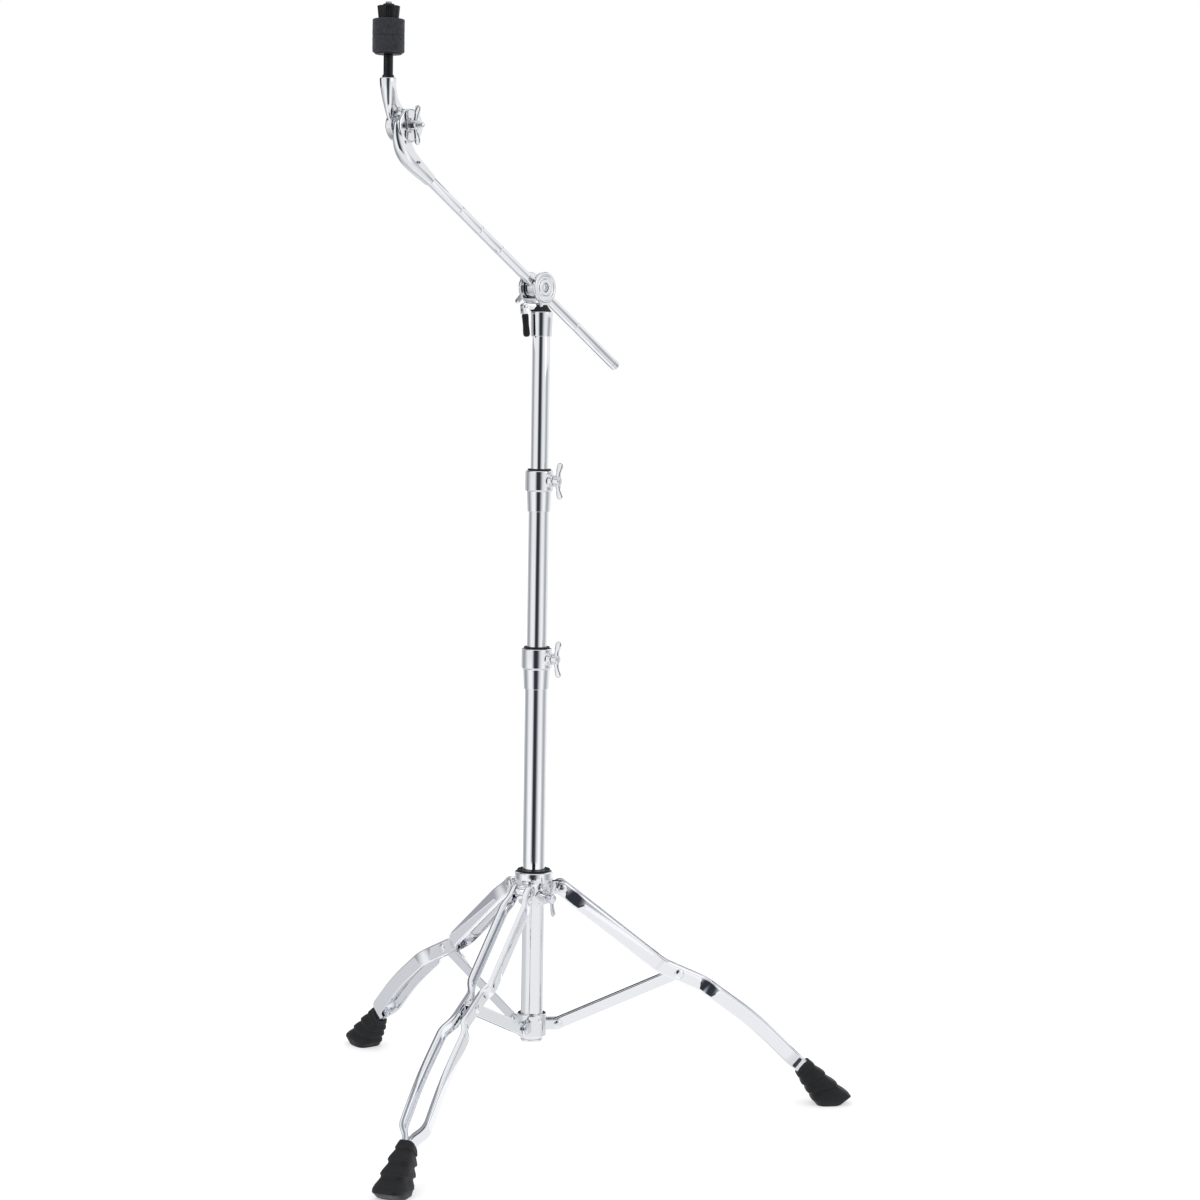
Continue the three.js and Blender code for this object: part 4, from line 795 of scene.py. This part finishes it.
for number, place in enumerate(legPlaces, 1):
    name = "leg_%d" % number
    for label, side in (("left", 1), ("right", -1)):
        makePiece("legBar_%d_%s" % (number, label), barShapes(leg, side), place, pressedChrome,
                  "%s_bar_%s" % (name, label))
    half = hubOffset + leg["barThickness"] / 2 + seatGap
    makePiece("legPin_%d" % number, [headedPin(half, *leg["pin"])], place @ shift(*hubPivot) @ alongY,
              castChrome, name + "_hub_pin")
    makePiece("footBoot_%d" % number, [bootShape(foot)], place, footRubber, name + "_foot", sharp=50)
    makePiece("legStay_%d" % number, [stayShape(stay)], place, pressedChrome, "stay_%d" % number)
    half = collar["stayWidth"] / 2 + 2 * seatGap + collar["earThickness"]
    makePiece("stayPin_%d" % number, [headedPin(half, *stay["pin"])], place @ shift(*collarPivot) @ alongY,
              castChrome, "stay_%d_pin" % number)
print("legs made")

# Boom tilter

tilter = dict(
    ferruleTop=1030.5, ferruleLength=31, ferruleWall=1.3, ferruleTopWall=2.7, neckDrop=19, neckHalf=7,
    neckFoot=12.2, neckPower=2.6, band=(0.2, 8.5), bandProud=0.5, webDepth=5, webTop=0.55, webWidth=0.72,
    webFlare=1.5, webPower=5, cheek=20, cheekThickness=4.5, groove=(0.52, 0.8, 1.3), rodRadius=6.35,
    barrel=14, barrelWall=1.9, trunnion=5.5, trunnionCut=1.2, trunnionScrew=(4.6, 1.2, 0.8, 0.5, 1.8),
    washer=1, washerBore=5.8,
)
barrelHalf = tilter["rodRadius"] + seatGap + tilter["barrelWall"]
cheekInner = barrelHalf + tilter["washer"] + 2 * seatGap
cheekOuter = cheekInner + tilter["cheekThickness"]
neckTop = joint["boomHeight"] - tilter["neckDrop"]
lever = dict(
    azimuth=203, pivot=25, drop=24, length=38, width=8, tongue=3.6, tongueStart=4, tongueRadius=4, edge=0.6,
    pin=(1.6, 1.2, 1), lean=6, root=9, ear=4.4, block=(3.6, 4, 4, 3.6), blockTop=(-6, -5.6), blockPower=5,
    shank=2, gripPower=2.8,
)
leverHinge = turn("z", lever["azimuth"] - joint["headAzimuth"])


def neckShape(t, low, high, extra=0):
    # The neck between the ferrule and the cheeks, or a band of it that stands proud by extra.
    start = t["ferruleTop"]
    rise = neckTop - start
    heights, *widths = throughStations([
        (start - 1, 0, t["neckFoot"], t["neckFoot"]), (start + 0.35 * rise, 0.45, 10.5, 11.5),
        (start + 0.7 * rise, 0.9, t["neckHalf"] + 1.5, cheekOuter - 1),
        (neckTop, 1, t["neckHalf"], cheekOuter - 0.6),
    ]).T
    z = np.linspace(low, high, 24)
    lean, halfX, halfY = (np.interp(z, heights, width) for width in widths)
    return levelRings(0, -joint["boomSide"] * lean, z, halfX + extra, halfY + extra, t["neckPower"])


def webShape(t, centreY):
    # Level rings that widen from the neck to the cheek.
    share = np.linspace(0, 1, 12)
    z = neckTop - t["webDepth"] + share * (t["neckDrop"] + t["webDepth"] - t["webTop"] * t["cheek"])
    half = t["neckHalf"] + 0.5 + (t["webWidth"] * t["cheek"] - t["neckHalf"]) * share ** t["webFlare"]
    return levelRings(0, centreY, z, half, t["cheekThickness"] / 2 - 0.4, t["webPower"], smallRing)


def tilterShapes(t):
    bore, top = column["upperRadius"] + seatGap, t["ferruleTop"]
    cap, low = column["upper"][1] + seatGap, top - t["ferruleLength"]
    shapes = [lathe([(0, cap), (bore, cap), (bore, low), (bore + t["ferruleWall"], low),
                     (bore + t["ferruleTopWall"], top), (0, top)], [0, 0.4, 0.3, 0.6, 1.8, 0]),
              neckShape(t, top - 1, neckTop)]
    inner, outer, depth = t["groove"]
    r, half, hole = t["cheek"], t["cheekThickness"] / 2, t["trunnion"] + seatGap
    cheek = lathe([
        (hole, -half), (r, -half), (r, half), (outer * r, half), (outer * r - depth, half - depth),
        (inner * r + depth, half - depth), (inner * r, half), (hole, half),
    ], [0.4, 1.0, 2.2, 1.2, 1.0, 1.0, 1.0, 0.6])
    for side, facing in ((-1, againstY), (1, alongY)):
        centreY = side * (cheekInner + half) - joint["boomSide"]
        shapes += [webShape(t, centreY), moved(cheek, shift(0, centreY, joint["boomHeight"]) @ facing)]
    tongue = lugShape(lever["tongueStart"], lever["pivot"], lever["tongueRadius"], lever["tongue"],
                      lever["edge"])
    return shapes + [moved(tongue, leverHinge @ shift(0, 0, joint["boomHeight"] - lever["drop"]))]


makePiece("tilterBody", tilterShapes(tilter), headPlace, castChrome, "tilter_base")
bandLow, bandHigh = (tilter["ferruleTop"] + height for height in tilter["band"])
makePiece("neckBand", [neckShape(tilter, bandLow, bandHigh, tilter["bandProud"])], headPlace, nutPlastic,
          "tilter_base")

leverPlace = (headPlace @ leverHinge @ shift(lever["pivot"], 0, joint["boomHeight"] - lever["drop"])
              @ turn("y", lever["lean"]))


def leverRootShapes(v):
    # Two ears of the fork either side of the tongue, joined below it, with the shank.
    earWidth = (v["width"] - v["tongue"]) / 2 - seatGap
    ear = moved(lugShape(-v["root"], 0, v["ear"], earWidth, v["edge"]), turn("y", -90))
    block = levelRings(0, 0, np.array([-v["root"], 0.5 - v["root"], *v["blockTop"]]), v["block"], v["block"],
                       v["blockPower"], smallRing)
    shank = bandShape(0, v["shank"], 6 - v["length"], 1 - v["root"], 0.2, tinyRing)
    offset = (v["width"] - earWidth) / 2
    return [moved(ear, shift(0, offset, 0)), moved(ear, shift(0, -offset, 0)), block, shank]


def gripShape(v):
    # Stations of height, half width and half depth, from the root down.
    top, bottom = -v["root"] - seatGap, -v["length"]
    z, halfX, halfY = throughStations([
        (top, 3.0, 3.2), (top - 1.5, 3.9, 4), (top - 6, 3.8, 4.0), ((top + bottom) / 2, 3.5, 3.9),
        (bottom + 6, 3.9, 4.2), (bottom + 2, 3.6, 3.8), (bottom, 2.0, 2.2)]).T
    return levelRings(0, 0, z, halfX, halfY, v["gripPower"], smallRing)


makePiece("leverRoot", leverRootShapes(lever), leverPlace, castChrome, "swivel_lever")
makePiece("leverGrip", [gripShape(lever)], leverPlace, gripPlastic, "swivel_lever_grip")
leverPin = headedPin(lever["width"] / 2 + seatGap, *lever["pin"])
makePiece("leverPin", [leverPin], leverPlace @ alongY, castChrome, "swivel_lever_pin")


def barrelShapes(t):
    half, end, r = barrelHalf, cheekOuter - seatGap, t["trunnion"]
    cut = end - t["trunnionCut"]
    body = lathe([(0, -end), (r, -end), (r, -half), (t["barrel"], -half), (t["barrel"], half), (r, half),
                  (r, cut), (0, cut)], [0, 0.6, 0.3, 1.2, 1.2, 0.3, 0.6, 0])
    return [moved(body, alongY), moved(socketScrew(*t["trunnionScrew"]), alongY @ shift(0, 0, cut))]


makePiece("boomBarrel", barrelShapes(tilter), boomPlace, castChrome, "boom_barrel")
for label, side in (("left", -1), ("right", 1)):
    half = tilter["washer"] / 2
    ring = bandShape(tilter["washerBore"], tilter["barrel"], -half, half, 0.25)
    middle = side * (barrelHalf + seatGap + half)
    makePiece("frictionWasher_" + label, [moved(ring, alongY)], boomPlace @ shift(0, middle, 0), nutPlastic,
              "boom_washer_" + label)
boomWingPlace = boomPlace @ shift(0, -cheekOuter - seatGap, 0) @ turn("z", -90)
wingBolt("boomWings", "boom_wing_bolt", boomWingPlace, cheekOuter - tilter["rodRadius"])

# Boom rod

boom = dict(
    tail=177, head=268, cap=6, capDepth=3, spigot=1, rings=(-84, 84, 126, 168), ringDepth=0.3,
    ringWidth=1.2,
)


def rodShape(b):
    r, tail, half = tilter["rodRadius"], -b["tail"], b["ringWidth"] / 2
    spigot = r - b["spigot"]
    corners = [(0, tail), (spigot, tail), (spigot, tail + b["cap"]), (r, tail + b["cap"])]
    for at in b["rings"]:
        corners += [(r, at - half), (r - b["ringDepth"], at), (r, at + half)]
    return lathe(corners + [(r, b["head"]), (0, b["head"])], 0.25, middleRing, steps=3)


def capShape(b):
    r, tail = tilter["rodRadius"], -b["tail"]
    bore, rim, end = r - b["spigot"] + seatGap, tail + b["cap"] - seatGap, tail - b["capDepth"]
    return lathe([(0, end), (r, end), (r, rim), (bore, rim), (bore, tail - seatGap), (0, tail - seatGap)],
                 [0, 2.2, 0.3, 0.2, 0.2, 0], middleRing)


makePiece("boomTube", [rodShape(boom)], boomPlace @ alongX, tubeChrome, "boom_rod")
makePiece("boomCap", [capShape(boom)], boomPlace @ alongX, castChrome, "boom_end_cap")
print("boom made")

# Ratchet tilter: toothed cheeks on two cast arms

ratchet = dict(
    radius=20, thickness=11.5, bore=3.3, teeth=20, tooth=1, perTooth=12, inner=8, outer=18.4, armStart=227,
    armPower=2.3, armTopRadius=9.6, clearance=2.5, voxel=0.5, smooth=5, screwReach=262, screwSunk=5,
    screw=(2.2, 3.8, 0.4, 0.55, 1.4), bolt=3, boltEnd=33, plain=12, thread=0.4, pitch=1.0,
    head=(7, 4.3, 2.6, 0.36, 2.6), washer=9, washerThickness=1.6,
)
toothGap = seatGap / 2
cheekFace = toothGap + ratchet["tooth"]
cheekBack = cheekFace + ratchet["thickness"]


def toothRing(r):
    # Height is a triangle wave of the angle, 0 in the valleys; the ring's skirt lies 1 mm under them.
    angle = circle(r["teeth"] * r["perTooth"])
    wave = 1 - np.abs(2 * ((angle * r["teeth"] / (2 * np.pi)) % 1) - 1)
    crest = r["tooth"] * np.clip(0.04 + 1.12 * wave, 0, 1)
    rings = [(r["inner"], -1), (r["outer"], -1), (r["outer"], crest - 0.1), (r["outer"] - 0.3, crest),
             (r["inner"], crest)]
    return gridShape(np.stack([turned(radius, height, angle) for radius, height in rings]), True)


def cheekDisc(r):
    return bandShape(r["bore"], r["radius"], 0, r["thickness"], [0.4, 1.0, 2.6, 0.6])


def armShape(stations, awayFrom):
    # Rounded sections square to the arm's line. Where the other cheek turns, the arm is cut back to its
    # own face.
    x, y, z, across, alongBolt = throughStations(stations, 10).T
    centres = np.stack([x, y, z], -1)
    ahead = unit(np.gradient(centres, axis=0) * [1, 0, 1])
    upright = np.stack([-ahead[:, 2], 0 * x, ahead[:, 0]], -1)
    grid = roundedRings(centres, upright, axisY, across, alongBolt, ratchet["armPower"], castRing)
    near = np.hypot(grid[..., 0], grid[..., 2]) < ratchet["radius"] + ratchet["clearance"]
    facing = grid[..., 1] * awayFrom
    grid[..., 1] = np.where(near, np.maximum(facing, cheekFace), facing) * awayFrom
    return gridShape(grid)


# Each station of an arm is X, Y, Z, the half width across the arm and the half width along the bolt.


def lowerArmStations(r):
    start, rise = r["armStart"] - joint["ratchetReach"], joint["ratchetRise"]
    middle, bore = cheekFace + r["thickness"] / 2, tilter["rodRadius"] + seatGap
    return [
        (start, 0, -rise, bore + 0.9, bore + 0.9), (start + 16, 0, -rise, bore + 2.2, bore + 2.2),
        (start + 34, 0, -rise, bore + 3.8, bore + 3), (start + 48, 0.8, -rise + 1.2, bore + 5, bore + 3.2),
        (start + 60, 0.3 * middle, -0.8 * rise, bore + 5.8, bore + 2.6),
        (start + 70, 0.65 * middle, -0.55 * rise, 13, bore + 0.6),
        (start + 76, middle, -0.25 * rise, 14, r["thickness"] / 2 - 0.3),
        (start + 77.5, middle, 0, 14, r["thickness"] / 2 - 1),
    ]


def upperArmStations(r):
    middle, top, offset = -(cheekFace + r["thickness"] / 2), joint["armTop"], joint["seatOffset"]
    end = r["armTopRadius"]
    return [
        (0, middle, 0, 14, r["thickness"] / 2 - 1), (4, middle, 8, 14.5, r["thickness"] / 2 - 0.4),
        (12.5, 0.8 * middle, 19, 12.6, r["thickness"] / 2), (20, 0.42 * middle, 30, 10.4, 7.4),
        (24.6, 0.12 * middle, 40, 9.4, 8.6), (offset, 0, 47, end - 0.4, end - 0.4),
        (offset, 0, top - 1.2, end, end), (offset, 0, top, end - 1.2, end - 1.2),
    ]


def cheekOn(shape, side):
    facing = shift(0, cheekFace, 0) @ alongY
    return moved(shape, facing if side > 0 else flip("y") @ facing)


halves = [("lower", lowerArmStations, 1, ratchetPlace), ("upper", upperArmStations, -1, seatPlace)]
for label, stations, side, place in halves:
    arm = [armShape(stations(ratchet), side), cheekOn(cheekDisc(ratchet), side)]
    makePiece(label + "Arm", arm, place, castChrome, "tilter_%s_arm" % label, voxel=ratchet["voxel"],
              smooth=ratchet["smooth"])
for label, _, side, place in halves:
    teeth = cheekOn(moved(toothRing(ratchet), flip("z")), side)
    makePiece(label + "Teeth", [teeth], place, castChrome, "tilter_%s_arm" % label, sharp=25)

screwPlace = ratchetPlace @ shift(ratchet["screwReach"] - joint["ratchetReach"], 0, -joint["ratchetRise"])
screwSeat = tilter["rodRadius"] + seatGap + ratchet["screwSunk"] - ratchet["screw"][1]
makePiece("setScrew", [moved(socketScrew(*ratchet["screw"]), shift(0, 0, screwSeat))], screwPlace @ alongY,
          (threadSteel[0], "black_plastic"), "tilter_set_screw")


def tilterBoltShapes(r):
    back, plain = cheekBack + seatGap, r["plain"]
    shank = bandShape(0, r["bolt"], -back, plain, 0.1, smallRing)
    threaded = threadShape(r["bolt"], r["thread"], r["pitch"], plain - 1, r["boltEnd"])
    head = moved(socketScrew(*r["head"]), shift(0, 0, back))
    return [moved(shank, alongY), moved(threaded, alongY), moved(head, againstY)]


makePiece("tilterBolt", tilterBoltShapes(ratchet), ratchetPlace, threadSteel, "tilter_bolt")
washer = bandShape(ratchet["bore"], ratchet["washer"], 0, ratchet["washerThickness"], 0.45, middleRing)
washerPlace = ratchetPlace @ shift(0, cheekBack + seatGap, 0)
makePiece("tilterWasher", [moved(washer, alongY)], washerPlace, castChrome, "tilter_washer")
nutPlace = washerPlace @ shift(0, ratchet["washerThickness"] + seatGap, 0) @ turn("y", joint["boomElevation"])
wingBolt("tilterWings", "tilter_wing_nut", nutPlace @ turn("z", 90))
print("ratchet made")

# Cymbal seat

stack = dict(
    stud=4, socket=18, studAbove=4.9, thread=0.45, pitch=1.25, sleeve=5.65, upperSleeve=5, flange=7,
    flangeHeight=2.4, lowerSleeve=24, cup=17, cupThickness=1.6, felt=19.2, feltThickness=19.5,
    feltEdges=(2.2, 0.7), feltInset=0.15, feltWaves=(0.02, 0.06), nut=13.6, nutHeight=15, nutTaper=1.4,
    collar=2.8, collarHeight=2.3, flutes=8, fluteDepth=0.9,
)
shoulder = seatGap + stack["flangeHeight"] + stack["lowerSleeve"]
cupBottom = shoulder + seatGap
lowerFelt = cupBottom + stack["cupThickness"] + seatGap
upperFelt = lowerFelt + stack["feltThickness"] + seatGap
nutBottom = upperFelt + stack["feltThickness"] + seatGap
studTop = nutBottom + stack["nutHeight"] + stack["studAbove"]


def studShapes(s):
    low, high = seatGap - s["socket"], nutBottom - 4
    plain = bandShape(0, s["stud"], low, high, 0.2, smallRing)
    return [plain, threadShape(s["stud"], s["thread"], s["pitch"], high - 1, studTop)]


def sleeveShape(s):
    clear, flat, top = s["stud"] + seatGap, seatGap + s["flangeHeight"], nutBottom - seatGap
    return lathe([
        (clear, seatGap), (s["flange"], seatGap), (s["flange"], flat), (s["sleeve"], flat + 0.8),
        (s["sleeve"], shoulder), (s["upperSleeve"], shoulder), (s["upperSleeve"], top), (clear, top),
    ], [0.2, 0.5, 0.7, 0.8, 0.4, 0.1, 0.4, 0.2])


def cupShape(s):
    clear, top = s["upperSleeve"] + seatGap, cupBottom + s["cupThickness"]
    corners = [(clear, cupBottom), (s["cup"] - 1.5, cupBottom), (s["cup"], top), (clear, top)]
    return lathe(corners, [0.2, 0.8, 0.3, 0.2])


def feltShape(s, bottom, edges, seed):
    # A turned pad whose surface wanders with a few soft waves round and up it, as pressed wool does.
    clear, r = s["upperSleeve"] + seatGap, s["felt"] - s["feltInset"]
    top = bottom + s["feltThickness"]
    corners = [(clear, bottom), (r, bottom), (r, top), (clear, top)]
    profile = divided(softCorners(corners, [0.5, *edges, 0.5], 8, True), 6)
    radius, height = profile[None, :, 0], profile[None, :, 1]
    angle = circle(160)[:, None]
    rng = np.random.default_rng(seed)
    wander = sum(
        rng.uniform(*s["feltWaves"]) * np.sin(k * angle + rng.uniform(0, 6) + height * rng.uniform(0.2, 1.2))
        for k in (2, 3, 5, 9, 14, 23))
    reach = np.clip((radius - clear) / (r - clear), 0, 1)
    return gridShape(turned(radius + (wander - 0.05) * reach, height, angle), True)


def nutShape(s):
    # The radius dips by depth * cos^2 at each flute; the crown is cupped round a raised collar.
    r, h, clear = s["nut"], s["nutHeight"], s["stud"] + seatGap
    inner, high = s["stud"] + s["collar"], h + s["collarHeight"]
    corners = [(clear, 0), (r - s["nutTaper"], 0), (r, h), (r - 2.6, h), (inner, h - 0.4),
               (inner - 0.2, high), (clear, high)]
    profile = divided(softCorners(corners, [0.3, 1.2, 1.6, 0.6, 0.3, 0.6, 0.3], 6, True), 3)
    radius, height = profile[:, :1], profile[:, 1:]
    angle = circle(2 * largeRing)[None]
    outer = np.clip((radius - r + 4) / 3, 0, 1) * np.clip((h - 1.2 - height) / 1.6, 0, 1)
    flute = s["fluteDepth"] * outer * np.maximum(0, np.cos(s["flutes"] * angle)) ** 2
    return gridShape(turned(radius - flute, nutBottom + height, angle).transpose(1, 0, 2), True)


makePiece("cymbalStud", studShapes(stack), stackPlace, threadSteel, "cymbal_stud")
makePiece("cymbalSleeve", [sleeveShape(stack)], stackPlace, nutPlastic, "cymbal_sleeve")
makePiece("cupWasher", [cupShape(stack)], stackPlace, nutPlastic, "cup_washer")
outerEdge, facingEdge = stack["feltEdges"]
for name, bottom, edges, node, seed in (
        ("feltLower", lowerFelt, (outerEdge, facingEdge), "lower_felt", 3),
        ("feltUpper", upperFelt, (facingEdge, outerEdge), "upper_felt", 8)):
    pad = feltShape(stack, bottom, edges, seed)
    makePiece(name, [pad], stackPlace, seatFelt, node, sharp=60)
makePiece("topNut", [nutShape(stack)], stackPlace, nutPlastic, "top_nut")
print("cymbal seat made")

# Studio, in metres: a pale floor, soft lamps, and graded strips round the column that only reflections see

studio = {"air": 0.62, "floor": {"half": 40, "colour": 0.93, "roughness": 0.9, "glow": 0.46}, "lamps": [
    {"name": "keyLamp", "place": (-2.2, -2.6, 3.0), "size": 2.2, "power": 16},
    {"name": "fillLamp", "place": (2.8, -1.8, 2.2), "size": 2.4, "power": 8},
    {"name": "backLamp", "place": (0.6, 2.8, 3.2), "size": 2.2, "power": 10},
], "aim": (0, 0, 0.6), "tint": (1.03, 1.0, 0.94), "screens": [
    {"name": "frontScreen", "low": (1.2, 0.09), "high": (1.2, 1.75), "shades": [
        (-46, 1), (-38, 0.8), (-30, 0.25), (-25, 0.04), (-3, 0.04), (4, 0.15), (14, 0.55), (24, 0.9),
        (34, 1)]},
    {"name": "lowFlag", "low": (1.2, 0.032), "high": (1.2, 0.09), "shades": [(-24, 0.01), (10, 0.01)]},
    {"name": "leftScreen", "low": (1.25, 0), "high": (1.25, 1.06), "shades": [
        (-165, 1), (-148, 0.7), (-128, 0.4), (-108, 0.45), (-92, 0.8), (-80, 1)]},
    {"name": "rightScreen", "low": (1.25, 0), "high": (1.25, 1.02), "shades": [
        (55, 1), (66, 0.72), (78, 0.48), (90, 0.5), (108, 0.78), (125, 1)]},
    {"name": "backScreen", "low": (1.2, 0.09), "high": (1.2, 1.02), "shades": [
        (150, 1), (160, 0.5), (168, 0.05), (186, 0.03), (194, 0.3), (204, 1)]},
    {"name": "leftFlag", "low": (1.2, 1.12), "high": (1.2, 1.8), "shades": [
        (-160, 1), (-148, 0.1), (-142, 0.03), (-110, 0.03), (-100, 0.3), (-92, 1)]},
    {"name": "upperRing", "low": (1.3, 1.8), "high": (1.3, 2.6), "shades": [(-180, 0.35), (180, 0.35)]},
    {"name": "floorScreen", "low": (0.25, 0.002), "high": (1.2, 0.002), "shades": [
        (-168, 1), (-152, 0.7), (-88, 0.74), (-70, 1), (60, 1), (80, 0.84), (130, 0.84), (150, 1)]},
]}


def seenRays(tree):
    # 1 for what the camera, gloss and glass see, 0 for the light that falls on the object.
    path = addNode(tree, "LightPath").outputs
    total = mathOf(tree, "ADD", path["Is Camera Ray"], path["Is Glossy Ray"])
    return mathOf(tree, "ADD", total, path["Is Transmission Ray"], clamp=True)


def mixSeen(tree, output, lighting, seen):
    mix = addNode(tree, "MixShader", {0: seenRays(tree), 1: lighting, 2: seen})
    feed(tree, output.inputs["Surface"], mix.outputs[0])


def makeWorld(strength):
    world = bpy.data.worlds.new("studioAir")
    bpy.context.scene.world = world
    world.use_nodes = True
    tree = world.node_tree
    tree.nodes.clear()
    light, seen = (addNode(tree, "Background", {"Color": (1, 1, 1, 1), "Strength": value}).outputs[0]
                   for value in (strength, 1))
    mixSeen(tree, addNode(tree, "OutputWorld"), light, seen)


def addStage(name, points, faces):
    mesh = bpy.data.meshes.new(name)
    mesh.from_pydata(points, [], faces)
    item = addObject(name, mesh)
    made, tree = newMaterial(name)
    mesh.materials.append(made)
    return item, tree


def makeFloor(f):
    size, colour = f["half"], f["colour"]
    corners = [(-size, -size, 0), (size, -size, 0), (size, size, 0), (-size, size, 0)]
    tree = addStage("paleFloor", corners, [(0, 1, 2, 3)])[1]
    shader = tree.nodes["Principled BSDF"]
    for label, value in (("Base Color", (colour, colour, colour, 1)), ("Roughness", f["roughness"]),
                         ("Specular IOR Level", 0)):
        feed(tree, shader.inputs[label], value)
    glow = addNode(tree, "Emission", {"Strength": f["glow"]})
    lit = addNode(tree, "AddShader", {0: shader.outputs[0], 1: glow.outputs[0]})
    mixSeen(tree, tree.nodes["Material Output"], shader.outputs[0], lit.outputs[0])


def addLamp(lamp, target):
    data = bpy.data.lights.new(lamp["name"], "AREA")
    data.shape, data.size, data.energy = "DISK", lamp["size"], lamp["power"]
    item = addObject(lamp["name"], data)
    aim = (Vector(target) - Vector(lamp["place"])).to_track_quat("-Z", "Y")
    item.matrix_world = Matrix.Translation(lamp["place"]) @ aim.to_matrix().to_4x4()
    item.visible_camera = False


def addScreen(screen, tint):
    # A strip round the column between two (radius, height) edges. Its shade is a function of the azimuth,
    # which is 0 on the photograph's side.
    azimuth, shade = np.array(screen["shades"], float).T
    around = np.linspace(azimuth[0], azimuth[-1], int(azimuth[-1] - azimuth[0]) // 2 + 1)
    a, count = np.radians(around - 90), len(around)
    rows = [turned(*edge, a) + (columnX * mm, 0, 0) for edge in (screen["low"], screen["high"])]
    faces = [(i, i + 1, count + i + 1, count + i) for i in range(count - 1)]
    item, tree = addStage(screen["name"], np.concatenate(rows).tolist(), faces)
    bright = np.tile(np.interp(around, azimuth, shade)[:, None] ** tint, (2, 1))
    colours = item.data.color_attributes.new("shade", "FLOAT_COLOR", "POINT")
    colours.data.foreach_set("color", np.column_stack([bright, np.ones(2 * count)]).ravel())
    tree.nodes.clear()
    painted = addNode(tree, "Attribute", attribute_name="shade")
    glow = addNode(tree, "Emission", {"Color": painted.outputs["Color"], "Strength": 1})
    addNode(tree, "OutputMaterial", {"Surface": glow.outputs[0]})
    item.visible_camera = item.visible_diffuse = item.visible_shadow = item.visible_transmission = False


bpy.context.scene.view_settings.view_transform = "Standard"
makeWorld(studio["air"])
makeFloor(studio["floor"])
for lamp in studio["lamps"]:
    addLamp(lamp, studio["aim"])
for screen in studio["screens"]:
    addScreen(screen, studio["tint"])
print("studio made")
